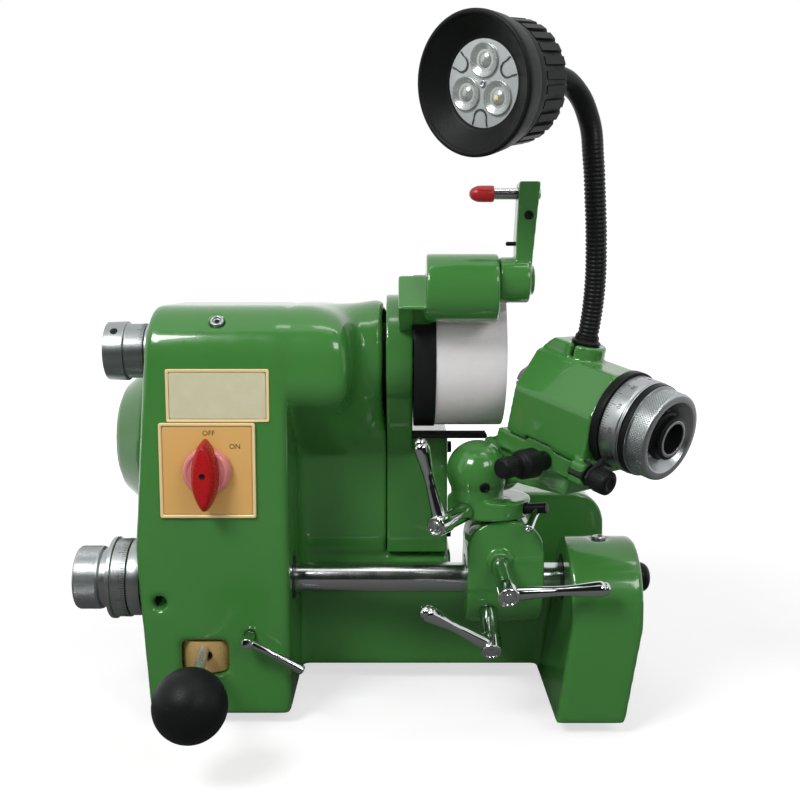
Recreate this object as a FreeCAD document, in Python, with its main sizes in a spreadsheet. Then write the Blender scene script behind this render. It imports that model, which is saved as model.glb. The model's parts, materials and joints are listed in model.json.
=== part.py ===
"""Bench tool and cutter grinder with an indexing work head, a wheel dresser and a gooseneck lamp.

Millimetres. +Z is up and the operator stands on the -Y side. The origin is on the bench,
at the centre of the four bolt holes under the feet.
"""

import FreeCAD, Part
import math
import os

import Sketcher
from FreeCAD import Placement, Rotation, Vector

SIZES = {
    # Axes of the machine
    "spindle_y": -25,
    "spindle_height": 238,
    "guide_y": -55,
    "guide_height": 89,
    "motor_y": 75,
    "motor_height": 164,
    # Fits
    "running_gap": 0.04,
    "face_gap": 0.3,
    # Base casting
    "foot_height": 8,
    "column_left_top": -157,
    "column_left_waist": -168,
    "column_left_foot": -161,
    "column_waist_height": 115,
    "column_right": -70,
    "column_front": -90,
    "column_back": 13,
    "column_top": 270,
    "column_wall": 10,
    "crown_radius": 32,
    "column_edge_radius": 5,
    "bed_front": -19,
    "bed_back": 121,
    "bed_top": 95,
    "bed_underside": 14,
    "bed_right": 150,
    "bed_edge_radius": 12,
    "bed_wall": 10,
    "pedestal_left": 107,
    "pedestal_right": 152,
    "pedestal_y": -66,
    "pedestal_height": 80,
    "pedestal_radius": 39,
    "pedestal_foot_left": 98,
    "pedestal_foot_right": 142,
    "pedestal_shoulder": 70,
    "bed_step": 36,
    "low_bed_top": 70,
    "low_bed_back": 39,
    "rear_block_left": 60,
    "rear_block_front": 20,
    "rear_block_back": 85,
    "rear_block_top": 130,
    "rear_block_radius": 22,
    "rear_foot_back": 100,
    "rear_foot_top": 40,
    "bolt_spacing_x": 250,
    "bolt_spacing_y": 140,
    "bolt_hole_radius": 4,
    "bolt_hole_depth": 15,
    "bolt_boss_radius": 13,
    "bolt_boss_height": 24,
    "foot_pad_radius": 9,
    # Wheelhead and belt cover
    "head_right": -9,
    "tower_kink_height": 165,
    "shoulder_front": -88.5,
    "shoulder_right": -36,
    "shoulder_back": 5,
    "shoulder_brow": 213,
    "shoulder_brow_radius": 24,
    "barrel_radius": 33,
    "barrel_brow": 16,
    "ring_radius": 38,
    "ring_left": -23,
    "spigot_left": -95,
    "spigot_radius": 28,
    "tower_shoulder_y": 62,
    "tower_shoulder_height": 232,
    "tower_back_height": 185,
    "chamber_left": -28,
    "chamber_spindle_radius": 27,
    "chamber_motor_radius": 38,
    "cover_right": 8.5,
    "cover_wall": 2,
    "cover_box_right": 33,
    "cover_box_top": 181,
    "cover_box_wall": 3,
    "cover_mouth_radius": 20,
    "lip_right": 58,
    "lip_thickness": 2.5,
    "lip_front": -45,
    "lip_back": -26,
    "cover_screw_radius": 4,
    "cover_screw_head": 3,
    "cover_screw_inset": 12,
    # Motor and belt
    "motor_left": -150,
    "motor_radius": 54,
    "motor_wall": 6,
    "cowl_left": -211,
    "cowl_radius": 58,
    "cowl_nose_radius": 40,
    "cowl_shoulder": -190,
    "cowl_wall": 3,
    "rotor_radius": 30,
    "rotor_left": -135,
    "rotor_right": -85,
    "motor_shaft_radius": 8,
    "motor_shaft_left": -169,
    "motor_shield": 10,
    "fan_radius": 46,
    "fan_width": 14,
    "motor_pulley_radius": 30,
    "motor_pulley_left": -19,
    "motor_pulley_right": -4,
    "belt_left": -14,
    "belt_width": 8,
    "belt_thickness": 2.5,
    "gland_radius": 9,
    "gland_length": 18,
    "gland_bore": 4,
    # Quill and grinding spindle
    "quill_left": -86,
    "quill_right": -32,
    "quill_radius": 24,
    "quill_bore": 13,
    "bearing_radius": 19,
    "bearing_width": 12,
    "feed_nut_left": -112,
    "spindle_radius": 9,
    "spindle_shoulder": 14,
    "spindle_pulley_radius": 16,
    "spindle_pulley_left": -18,
    "spindle_pulley_right": 3,
    "wheel_hub_left": 9,
    "wheel_hub_radius": 51,
    "wheel_hub_rim": 5,
    "wheel_left": 18,
    "wheel_width": 50,
    "wheel_radius": 50,
    "wheel_bore": 10,
    "wheel_recess_radius": 26,
    "wheel_recess_depth": 20,
    "wheel_nut_radius": 22,
    "wheel_nut_flange": 6,
    "wheel_nut_hub": 13,
    "wheel_nut_length": 15,
    # Wheel feed knob
    "feed_collar_right": -161,
    "feed_collar_left": -170,
    "feed_collar_radius": 18,
    "feed_spigot_radius": 12,
    "feed_knob_left": -198,
    "feed_knob_step": -183,
    "feed_knob_radius": 20,
    "feed_screw_radius": 6,
    "feed_screw_right": -97,
    "feed_nut_floor": -88,
    "tommy_hole_radius": 2.5,
    # Guide bar, its stop and the ball lever
    "guide_radius": 10,
    "guide_left": -150,
    "guide_right": 166,
    "guide_bush_radius": 14,
    "stop_collar_left": -177,
    "stop_collar_right": -168.5,
    "stop_collar_radius": 25,
    "stop_spigot_radius": 15,
    "stop_spigot_right": -155,
    "stop_knob_left": -214,
    "stop_knob_radius": 21,
    "stop_knob_neck": -196,
    "stop_neck_radius": 19,
    "stop_flange_left": -190,
    "stop_flange_right": -187,
    "stop_flange_radius": 27,
    "stop_scale_radius": 26,
    "stop_bore_radius": 8,
    "stop_screw_radius": 5,
    "stop_screw_left": -202,
    "stop_screw_right": -158.5,
    "drum_radius": 19,
    "drum_bottom": 36,
    "drum_top": 56,
    "drum_pivot_radius": 5,
    "drum_pivot_length": 11,
    "crank_pin_radius": 3.5,
    "crank_slot_gap": 0.6,
    "crank_slot_depth": 6,
    "window_width": 30,
    "window_bottom": 35,
    "window_top": 57,
    "lever_length": 109,
    "lever_rod_radius": 3.5,
    "lever_yaw": 4.7,
    "lever_rise": 3.7,
    "ball_radius": 21,
    # Bracket on the guide bar
    "bracket_left": 43,
    "bracket_right": 92,
    "bracket_radius": 29,
    "bracket_front": -85,
    "bracket_back": -33,
    "bracket_top": 134,
    "bracket_bush_radius": 14,
    "bracket_bush_lip": 0.5,
    "bracket_edge_radius": 20,
    "swivel_x": 58,
    "swivel_y": -62,
    "swivel_flange_radius": 27,
    "swivel_flange_height": 12,
    "swivel_pivot_radius": 10,
    "swivel_pivot_depth": 18,
    # Tilting knuckle
    "knuckle_x": 50,
    "knuckle_y": -70,
    "knuckle_rise": 30,
    "knuckle_radius": 20,
    "knuckle_flat": 10,
    "tilt_pin_radius": 5,
    "tilt_hub_radius": 16,
    "tilt_hub_width": 15,
    "tilt_pin_length": 18,
    # Index head, along its own axis from the collet end
    "head_reach_x": 25.5,
    "head_reach_y": 20,
    "head_rise": 60,
    "head_yaw": -47.5,
    "head_pitch": 13.3,
    "head_rear": 25,
    "head_front": 86,
    "head_half_width": 29,
    "head_eave": 3,
    "head_ridge": 27,
    "head_ridge_half": 14,
    "head_edge_radius": 4,
    "slide_left": 16,
    "slide_right": 80,
    "slide_half_width": 26,
    "slide_thickness": 12,
    "slide_key_left": 40,
    "slide_key_right": 62,
    "slide_key_height": 3,
    "arm_top": -40,
    "arm_thickness": 13,
    "arm_belly_x": 34,
    "arm_belly_drop": 20,
    "arm_half_width": 21,
    "arm_left": 2,
    "arm_right": 74,
    "slide_screw_x": 57,
    "slide_screw_drop": -35.2,
    "slide_screw_radius": 3,
    "slide_screw_depth": 30,
    "slide_collar_radius": 9.5,
    "slide_collar_start": 8,
    "slide_collar_width": 6,
    "slide_sleeve_radius": 6,
    "slide_knob_radius": 7,
    "slide_knob_start": 22,
    "slide_knob_length": 18,
    "plunger_side": -27,
    "plunger_drop": -31,
    "plunger_radius": 3,
    "plunger_knob_radius": 7.5,
    "plunger_knob_length": 12,
    "plunger_reach": 9,
    "plunger_lug_length": 10,
    "plunger_lug_sunk": 5,
    "plunger_lug_half": 6.5,
    "catch_bite": 0.8,
    "catch_half": 4,
    "catch_thickness": 3,
    "index_bore_radius": 17,
    "index_nose_radius": 13,
    "index_nose_start": 14,
    "index_ring_end": 92,
    "index_ring_radius": 30,
    "scale_ring_end": 106,
    "scale_ring_radius": 28.5,
    "dark_ring_end": 110,
    "dark_ring_radius": 28,
    "handwheel_end": 122,
    "handwheel_radius": 26.5,
    "handwheel_mouth": 21,
    "handwheel_throat": 15,
    "handwheel_floor": 2,
    "drawbar_radius": 8.5,
    "drawbar_bore": 5,
    "drawbar_start": 32,
    "drawbar_nut_radius": 13,
    "drawbar_nut_end": 124,
    "collet_start": 9,
    "collet_end": 31,
    "collet_radius": 8.5,
    "collet_bore": 4,
    "collet_slit": 1,
    "collet_slit_length": 18,
    # Lamp
    "lamp_boss_x": 50,
    "lamp_boss_radius": 13,
    "lamp_boss_top": 36,
    "lamp_hump_left": 27,
    "lamp_hump_slope": 7,
    "lamp_hump_half": 12,
    "lamp_slit": 2.5,
    "lamp_stem_radius": 8,
    "lamp_stem_depth": 12,
    "lamp_collar_radius": 10,
    "lamp_collar_height": 5,
    "neck_crest_radius": 6.4,
    "neck_root_radius": 5.7,
    "neck_bore_radius": 4,
    "neck_rib_pitch": 2.5,
    "lamp_reach_x": -38,
    "lamp_reach_y": -114,
    "lamp_rise": 165,
    "lamp_yaw": 228,
    "lamp_pitch": 9.1,
    "lamp_length": 46,
    "lamp_back_radius": 22,
    "lamp_shoulder": 7,
    "lamp_shoulder_radius": 30,
    "lamp_barrel_radius": 34,
    "lamp_bezel_start": 32,
    "lamp_bezel_radius": 38,
    "lamp_mouth_radius": 34.5,
    "lamp_board_radius": 24,
    "lamp_wall": 3,
    "lamp_reflector_depth": 10,
    "lamp_lens_radius": 9,
    "lamp_lens_circle": 12.5,
    "lamp_lens_height": 5,
    # Clamping levers
    "swivel_lever_post": 28,
    "swivel_lever_reach": 50,
    "rock_lever_x": 63.6,
    "rock_lever_height": 107,
    "rock_lever_post": 33,
    "rock_lever_reach": 58,
    "rock_boss_radius": 8,
    "rock_boss_height": 3,
    "slide_lever_x": 57,
    "slide_lever_post": 27,
    "slide_lever_reach": 52,
    "knuckle_lever_post": 8,
    "knuckle_lever_reach": 20,
    "column_lever_x": -95.5,
    "column_lever_height": 61,
    "column_lever_post": 10,
    "column_lever_reach": 38,
    "stud_radius": 4,
    "stud_depth": 11,
    "post_gap": 1,
    "post_radius": 5.5,
    "lever_hub_radius": 6.5,
    "lever_hub_height": 12,
    "lever_arm_root": 3.4,
    "lever_arm_tip": 4.6,
    "rod_post_radius": 3.5,
    "rod_hub_height": 6,
    "rod_arm_radius": 1.8,
    # Dresser
    "dresser_y": -87,
    "dresser_height": 281,
    "dresser_radius": 21,
    "dresser_left": 16,
    "dresser_right": 60,
    "dresser_web_left": -1,
    "dresser_web_right": 20,
    "dresser_web_front": 18,
    "dresser_web_drop": 12,
    "dresser_web_rise": 8,
    "dresser_web_back": -40,
    "dresser_web_low": 252,
    "dresser_web_depth": 18,
    "dresser_web_height": 27,
    "hub_sweep_gap": 1.5,
    "dresser_pivot_height": 286,
    "dresser_hub_radius": 14,
    "dresser_hub_right": 79,
    "dresser_arm_half": 9,
    "dresser_arm_left": 70,
    "dresser_arm_head_left": 71.5,
    "dresser_arm_right": 84.5,
    "dresser_arm_top": 345,
    "dresser_pin_radius": 6,
    "dresser_pin_left": 24,
    "dresser_pin_head": 9,
    "dresser_pin_head_height": 3,
    "diamond_height": 338,
    "diamond_radius": 3.5,
    "diamond_left": 44,
    "diamond_right": 90,
    "diamond_cap_left": 42,
    "diamond_cap_right": 57,
    "diamond_cap_radius": 5,
    # Switch, plates and small fittings
    "switch_x": -120,
    "switch_height": 168,
    "switch_plate_size": 60,
    "switch_plate_thickness": 2,
    "switch_box_size": 46,
    "switch_box_depth": 36,
    "switch_stem_radius": 5,
    "switch_disc_radius": 14.5,
    "switch_disc_height": 6,
    "switch_grip_width": 16,
    "switch_grip_tip": 6,
    "switch_grip_length": 44,
    "switch_grip_height": 18,
    "plate_x": -113,
    "plate_height": 215,
    "plate_width": 64,
    "plate_tall": 33,
    "plate_thickness": 1,
    "set_screw_x": -153,
    "set_screw_height": 82,
    "set_screw_radius": 4.7,
    "oiler_radius": 4.5,
    "oiler_height": 1,
    "oiler_sink": 6,
    "oiler_x": -114,
}

# Bends of the gooseneck between its two straight ends
NECK_BENDS = [
    (42, -48, 58),
    (41.5, -52, 83),
    (40, -53, 112),
    (38.5, -53, 133),
    (35.5, -52, 156),
    (25.5, -58, 172.5),
    (14.5, -66, 176.5),
]

doc = FreeCAD.newDocument("cutter_grinder")
sheet = doc.addObject("Spreadsheet::Sheet", "sizes")


class Size:
    """A length: its number, and the formula on the sheet that gives it."""

    def __init__(self, number, formula):
        self.number = float(number)
        self.formula = formula

    def __add__(self, other):
        other = as_size(other)
        return Size(self.number + other.number, f"({self.formula} + {other.formula})")

    def __sub__(self, other):
        other = as_size(other)
        return Size(self.number - other.number, f"({self.formula} - {other.formula})")

    def __mul__(self, factor):
        return Size(self.number * factor, f"({self.formula} * {factor})")

    def __truediv__(self, factor):
        return Size(self.number / factor, f"({self.formula} / {factor})")

    def __neg__(self):
        return Size(-self.number, f"(0 - {self.formula})")

    def __float__(self):
        return self.number


class Sizes:
    """The driving dimensions by name."""


dim = Sizes()
for row, (name, value) in enumerate(SIZES.items(), start=1):
    sheet.set(f"A{row}", name)
    sheet.set(f"B{row}", str(value))
    sheet.setAlias(f"B{row}", name)
    setattr(dim, name, Size(value, f"sizes.{name}"))
doc.recompute()

nodes = []


def as_size(value):
    return value if isinstance(value, Size) else Size(value, f"({float(value)})")


def bind(obj, name, value):
    obj.setExpression(name, as_size(value).formula)


def locate(obj, x=None, y=None, z=None):
    for letter, value in (("x", x), ("y", y), ("z", z)):
        if value is not None:
            bind(obj, f"Placement.Base.{letter}", value)


def node(label, obj, frame=None):
    """Name a finished sub-part and put it in its frame."""
    placed = obj if frame is None else moved(f"{label}_placed", obj, frame)
    placed.Label = label
    nodes.append(placed)


# Shapes that the sub-parts are made of

AXES = {
    "x": Rotation(Vector(0, 1, 0), 90),
    "y": Rotation(Vector(1, 0, 0), -90),
    "z": Rotation(),
}


def box(name, x, y, z):
    """A block between two values on each axis."""
    obj = doc.addObject("Part::Box", name)
    for side, (low, high) in (("Length", x), ("Width", y), ("Height", z)):
        bind(obj, side, as_size(high) - low)
    locate(obj, x[0], y[0], z[0])
    return obj


def stand(obj, axis, start, at):
    """Turn a round solid onto an axis and start it there; at gives the other two coordinates."""
    obj.Placement = Placement(Vector(), AXES[axis])
    first, second = at
    spots = {"x": (start, first, second), "y": (first, start, second), "z": (first, second, start)}
    locate(obj, *spots[axis])
    return obj


def rod(name, axis, span, radius, at=(0, 0)):
    obj = doc.addObject("Part::Cylinder", name)
    bind(obj, "Radius", radius)
    bind(obj, "Height", as_size(span[1]) - span[0])
    return stand(obj, axis, span[0], at)


def cone(name, axis, span, radii, at=(0, 0)):
    obj = doc.addObject("Part::Cone", name)
    bind(obj, "Radius1", radii[0])
    bind(obj, "Radius2", radii[1])
    bind(obj, "Height", as_size(span[1]) - span[0])
    return stand(obj, axis, span[0], at)


def ball(name, radius, at):
    obj = doc.addObject("Part::Sphere", name)
    bind(obj, "Radius", radius)
    locate(obj, *at)
    return obj


def outline(body, plane, points):
    """A closed sketch on one of the body's planes, each corner held by two dimensions."""
    sketch = body.newObject("Sketcher::SketchObject", f"{body.Name}_outline")
    support = [plane_of for plane_of in body.Origin.OriginFeatures if plane_of.Role == plane]
    sketch.AttachmentSupport = (support[0], [""])
    sketch.MapMode = "FlatFace"
    corners = [(as_size(u), as_size(v)) for u, v in points]
    spots = [Vector(u.number, v.number, 0) for u, v in corners]
    count = len(spots)
    for index in range(count):
        sketch.addGeometry(Part.LineSegment(spots[index], spots[(index + 1) % count]), False)
    for index in range(count):
        sketch.addConstraint(Sketcher.Constraint("Coincident", index, 2, (index + 1) % count, 1))
    for index, corner in enumerate(corners):
        for kind, value in zip(("DistanceX", "DistanceY"), corner):
            held = sketch.addConstraint(Sketcher.Constraint(kind, -1, 1, index, 1, value.number))
            bind(sketch, f"Constraints[{held}]", value)
    return sketch


def pad(name, plane, points, span):
    """An outline pulled along the axis that its plane leaves out."""
    body = doc.addObject("PartDesign::Body", name)
    sketch = outline(body, f"{plane}_Plane", points)
    backward = plane == "XZ"
    bind(sketch, "AttachmentOffset.Base.z", -as_size(span[0]) if backward else span[0])
    feature = body.newObject("PartDesign::Pad", f"{name}_pad")
    feature.Profile = sketch
    feature.Reversed = backward
    bind(feature, "Length", as_size(span[1]) - span[0])
    return body


def turned(name, points, at=(0, 0)):
    """An outline of (along, radius) corners turned about a line parallel to X."""
    body = doc.addObject("PartDesign::Body", name)
    sketch = outline(body, "XY_Plane", points)
    feature = body.newObject("PartDesign::Revolution", f"{name}_turn")
    feature.Profile = sketch
    feature.ReferenceAxis = (sketch, ["H_Axis"])
    feature.Angle = 360
    locate(body, y=at[0], z=at[1])
    return body


def ring(name, span, outer, inner, at=(0, 0)):
    return turned(name, [(span[0], inner), (span[1], inner), (span[1], outer), (span[0], outer)], at)


def round_edges(body, radius, wanted):
    """Round the edges of a body whose middle satisfies a test."""
    doc.recompute()
    last = body.Tip
    names = [
        f"Edge{index}"
        for index, edge in enumerate(last.Shape.Edges, start=1)
        if wanted(edge.valueAt((edge.FirstParameter + edge.LastParameter) / 2))
    ]
    feature = body.newObject("PartDesign::Fillet", f"{body.Name}_round")
    feature.Base = (last, names)
    bind(feature, "Radius", radius)
    doc.recompute()
    return body


def near(first, second):
    return abs(float(first) - float(second)) < 0.01


def fuse(name, *parts):
    obj = doc.addObject("Part::MultiFuse", name)
    obj.Shapes = list(parts)
    return obj


def common(name, first, second):
    obj = doc.addObject("Part::MultiCommon", name)
    obj.Shapes = [first, second]
    return obj


def cut(name, base, *tools):
    obj = doc.addObject("Part::Cut", name)
    obj.Base = base
    obj.Tool = tools[0] if len(tools) == 1 else fuse(f"{name}_tools", *tools)
    return obj


def group(name, *parts):
    """Separate solids of the same kind in one sub-part."""
    obj = doc.addObject("Part::Compound", name)
    obj.Links = list(parts)
    return obj


def moved(name, obj, frame):
    """A shape carried from its own frame into another."""
    placed = group(name, obj)
    placed.Placement = frame
    return placed


def frame_of(origin, outward, along):
    """A frame at origin with its Z axis outward and its X axis near along."""
    z_axis = Vector(*outward).normalize()
    x_axis = Vector(*along)
    x_axis = (x_axis - z_axis * x_axis.dot(z_axis)).normalize()
    return Placement(Vector(*origin), Rotation(x_axis, z_axis.cross(x_axis), z_axis, "ZXY"))


spindle_at = (dim.spindle_y, dim.spindle_height)
guide_at = (dim.guide_y, dim.guide_height)
motor_at = (dim.motor_y, dim.motor_height)
dresser_at = (dim.dresser_y, dim.dresser_height)
dresser_pivot_at = (dim.dresser_y, dim.dresser_pivot_height)
drum_at = (-dim.bolt_spacing_x / 2, -dim.bolt_spacing_y / 2)
pedestal_top = dim.pedestal_height + dim.pedestal_radius
bolt_spots = [
    (dim.bolt_spacing_x * (across / 2), dim.bolt_spacing_y * (along / 2))
    for across in (-1, 1)
    for along in (-1, 1)
]
knuckle_height = dim.bracket_top + dim.knuckle_rise
head_at = Vector(
    float(dim.knuckle_x + dim.head_reach_x),
    float(dim.knuckle_y + dim.head_reach_y),
    float(knuckle_height + dim.head_rise),
)
head_frame = Placement(
    head_at,
    Rotation(Vector(0, 0, 1), float(dim.head_yaw)) * Rotation(Vector(0, 1, 0), float(dim.head_pitch)),
)


# Base casting: column, bed and pedestal in one piece


def column_shell():
    front_view = [
        (dim.column_left_foot, dim.foot_height),
        (dim.column_right, dim.foot_height),
        (dim.column_right, dim.column_top),
        (dim.column_left_top, dim.column_top),
        (dim.column_left_waist, dim.column_waist_height),
    ]
    body = pad("column", "XZ", front_view, (dim.column_front, dim.column_back))
    round_edges(
        body,
        dim.crown_radius,
        lambda spot: near(spot.y, dim.column_front) and near(spot.z, dim.column_top),
    )
    round_edges(
        body,
        dim.column_edge_radius,
        lambda spot: near(spot.y, dim.column_front) and not near(spot.z, dim.foot_height),
    )
    cavity = box(
        "column_cavity",
        (dim.column_left_top + dim.column_wall, dim.column_right - dim.column_wall),
        (dim.column_front + dim.column_wall, dim.column_back - dim.column_wall),
        (0, dim.column_top - dim.column_wall - 5),
    )
    return cut("column_shell", body, cavity)


def bed_shell():
    side_view = [
        (dim.bed_front, dim.bed_underside),
        (dim.bed_back, dim.bed_underside),
        (dim.bed_back, dim.bed_top),
        (dim.bed_front, dim.bed_top),
    ]
    body = pad("bed", "YZ", side_view, (dim.column_right - dim.column_wall, dim.bed_step))
    round_edges(
        body,
        dim.bed_edge_radius,
        lambda spot: near(spot.y, dim.bed_front) and near(spot.z, dim.bed_top),
    )
    low = box(
        "low_bed",
        (dim.bed_step, dim.bed_right),
        (dim.bed_front, dim.low_bed_back),
        (dim.bed_underside, dim.low_bed_top),
    )
    rear = pad(
        "rear_block",
        "XZ",
        [
            (dim.rear_block_left, dim.foot_height),
            (dim.bed_right, dim.foot_height),
            (dim.bed_right, dim.rear_block_top),
            (dim.rear_block_left, dim.rear_block_top),
        ],
        (dim.rear_block_front, dim.rear_block_back),
    )
    round_edges(
        rear,
        dim.rear_block_radius,
        lambda spot: near(spot.x, dim.bed_right) and near(spot.z, dim.rear_block_top),
    )
    foot = box(
        "rear_foot",
        (dim.column_left_top, dim.column_right),
        (dim.column_back - dim.column_wall, dim.rear_foot_back),
        (dim.foot_height, dim.rear_foot_top),
    )
    wall = dim.bed_wall
    cavities = [
        box(
            "bed_cavity",
            (dim.column_right, dim.bed_step - wall),
            (dim.bed_front + wall, dim.bed_back - wall),
            (0, dim.bed_top - wall),
        ),
        box(
            "low_bed_cavity",
            (dim.bed_step, dim.pedestal_left - wall),
            (dim.bed_front + wall, dim.rear_block_front),
            (0, dim.low_bed_top - wall),
        ),
        box(
            "rear_block_cavity",
            (dim.rear_block_left + wall, dim.pedestal_left),
            (dim.rear_block_front + wall, dim.rear_block_back - wall),
            (0, dim.rear_block_top - wall),
        ),
    ]
    return cut("bed_shell", fuse("bed_whole", body, low, rear, foot), *cavities)


def pedestal():
    width = (dim.pedestal_foot_left, dim.pedestal_right)
    depth = (dim.pedestal_y - dim.pedestal_radius, dim.bed_front + dim.bed_wall)
    block = box("pedestal_block", width, depth, (dim.foot_height, dim.pedestal_height))
    crown_at = (dim.pedestal_y, dim.pedestal_height)
    crown = rod("pedestal_crown", "x", width, dim.pedestal_radius, crown_at)
    front_view = [
        (dim.pedestal_foot_left, dim.foot_height),
        (dim.pedestal_foot_right, dim.foot_height),
        (dim.pedestal_right, dim.pedestal_shoulder),
        (dim.pedestal_right, pedestal_top),
        (dim.pedestal_left, pedestal_top),
        (dim.pedestal_left, dim.pedestal_shoulder),
    ]
    taper = pad("pedestal_taper", "XZ", front_view, depth)
    return common("pedestal", fuse("pedestal_whole", block, crown), taper)


def base_casting():
    boss = rod(
        "drum_boss",
        "z",
        (dim.foot_height, dim.foot_height + dim.bolt_boss_height),
        dim.bolt_boss_radius,
        drum_at,
    )
    web = box(
        "drum_boss_web",
        (drum_at[0] - dim.bolt_boss_radius, drum_at[0] + dim.bolt_boss_radius),
        (dim.column_front + dim.column_wall / 2, drum_at[1]),
        (dim.foot_height, dim.foot_height + dim.bolt_boss_height),
    )
    inner_left = dim.column_left_top + dim.column_wall
    feed_boss = rod(
        "feed_boss", "x", (dim.feed_collar_right, inner_left), dim.feed_collar_radius, spindle_at
    )
    stop_boss = rod("stop_boss", "x", (dim.stop_collar_right, inner_left), dim.stop_collar_radius, guide_at)
    whole = fuse(
        "base_whole", column_shell(), bed_shell(), pedestal(), boss, web, feed_boss, stop_boss
    )
    tools = [
        rod(
            f"bolt_hole_{index}",
            "z",
            (dim.foot_height, dim.foot_height + dim.bolt_hole_depth),
            dim.bolt_hole_radius,
            spot,
        )
        for index, spot in enumerate(bolt_spots)
    ]
    tools += [
        rod(
            "drum_pivot_hole",
            "z",
            (dim.drum_bottom - dim.drum_pivot_length - 1, dim.drum_bottom),
            dim.drum_pivot_radius + dim.running_gap,
            drum_at,
        ),
        box(
            "lever_window",
            (drum_at[0] - dim.window_width / 2, drum_at[0] + dim.window_width / 2),
            (dim.column_front - 1, dim.column_front + dim.column_wall),
            (dim.window_bottom, dim.window_top),
        ),
        rod(
            "drum_clearance",
            "z",
            (dim.drum_bottom - dim.face_gap, dim.drum_top + dim.face_gap),
            dim.drum_radius + dim.face_gap,
            drum_at,
        ),
        rod(
            "column_bush_hole",
            "x",
            (dim.column_right - dim.column_wall * 2, dim.column_right),
            dim.guide_bush_radius,
            guide_at,
        ),
        rod(
            "pedestal_bush_hole",
            "x",
            (dim.pedestal_left, dim.pedestal_right),
            dim.guide_bush_radius,
            guide_at,
        ),
        rod(
            "stop_hole",
            "x",
            (dim.column_left_waist - 1, dim.column_left_top + dim.column_wall),
            dim.stop_spigot_radius,
            guide_at,
        ),
        rod(
            "feed_hole",
            "x",
            (dim.column_left_waist, dim.column_left_top + dim.column_wall),
            dim.feed_spigot_radius,
            spindle_at,
        ),
        rod(
            "head_spigot_hole",
            "x",
            (dim.feed_nut_left - dim.column_wall, dim.column_right),
            dim.spigot_radius,
            spindle_at,
        ),
        rod(
            "switch_hole",
            "y",
            (dim.column_front, dim.column_front + dim.column_wall),
            dim.switch_stem_radius + dim.face_gap,
            (dim.switch_x, dim.switch_height),
        ),
        rod(
            "set_screw_hole",
            "y",
            (dim.column_front, dim.column_front + dim.column_wall),
            dim.set_screw_radius,
            (dim.set_screw_x, dim.set_screw_height),
        ),
        rod(
            "clamp_stud_hole",
            "y",
            (dim.column_front, dim.column_front + dim.stud_depth + 1),
            dim.rod_post_radius + dim.running_gap,
            (dim.column_lever_x, dim.column_lever_height),
        ),
        moved(
            "crown_oiler_hole_placed",
            rod("crown_oiler_hole", "z", (-dim.oiler_sink, dim.oiler_height), dim.oiler_radius),
            crown_oiler_frame(),
        ),
        rod(
            "pedestal_oiler_hole",
            "z",
            (pedestal_top - dim.oiler_sink, pedestal_top + dim.oiler_height),
            dim.oiler_radius,
            ((dim.pedestal_left + dim.pedestal_right) / 2, dim.pedestal_y),
        ),
    ]
    node("base_casting", cut("base_casting", whole, *tools))


def foot_pads():
    pads = []
    for index, (x, y) in enumerate(bolt_spots):
        outer = rod(f"foot_pad_{index}", "z", (0, dim.foot_height), dim.foot_pad_radius, (x, y))
        bore = rod(f"foot_pad_bore_{index}", "z", (0, dim.foot_height), dim.bolt_hole_radius, (x, y))
        pads.append(cut(f"foot_pad_ring_{index}", outer, bore))
    node("foot_pads", group("foot_pads", *pads))


# Wheelhead, belt cover and their fittings


def tower_view():
    """The side outline of the wheelhead below and behind the barrel."""
    brow = dim.spindle_y - dim.barrel_radius
    return [
        (dim.bed_front, dim.bed_top),
        (dim.bed_back, dim.bed_top),
        (dim.bed_back, dim.tower_back_height),
        (dim.tower_shoulder_y, dim.tower_shoulder_height),
        (dim.spindle_y, dim.spindle_height + dim.barrel_radius),
        (dim.spindle_y, dim.spindle_height),
        (brow, dim.spindle_height),
        (brow, dim.spindle_height - dim.barrel_brow),
        (dim.bed_front, dim.tower_kink_height),
    ]


def belt_chamber(name, span):
    """The space round both pulleys and the belt."""
    top = rod(f"{name}_top", "x", span, dim.chamber_spindle_radius, spindle_at)
    bottom = rod(f"{name}_bottom", "x", span, dim.chamber_motor_radius, motor_at)
    rise = dim.spindle_height.number - dim.motor_height.number
    reach = dim.motor_y.number - dim.spindle_y.number
    length = math.hypot(rise, reach)
    across_y = rise / length
    across_z = reach / length
    upper = dim.chamber_spindle_radius
    lower = dim.chamber_motor_radius
    path = pad(
        f"{name}_path",
        "YZ",
        [
            (dim.spindle_y - upper * across_y, dim.spindle_height - upper * across_z),
            (dim.motor_y - lower * across_y, dim.motor_height - lower * across_z),
            (dim.motor_y + lower * across_y, dim.motor_height + lower * across_z),
            (dim.spindle_y + upper * across_y, dim.spindle_height + upper * across_z),
        ],
        span,
    )
    return fuse(name, top, bottom, path)


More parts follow.
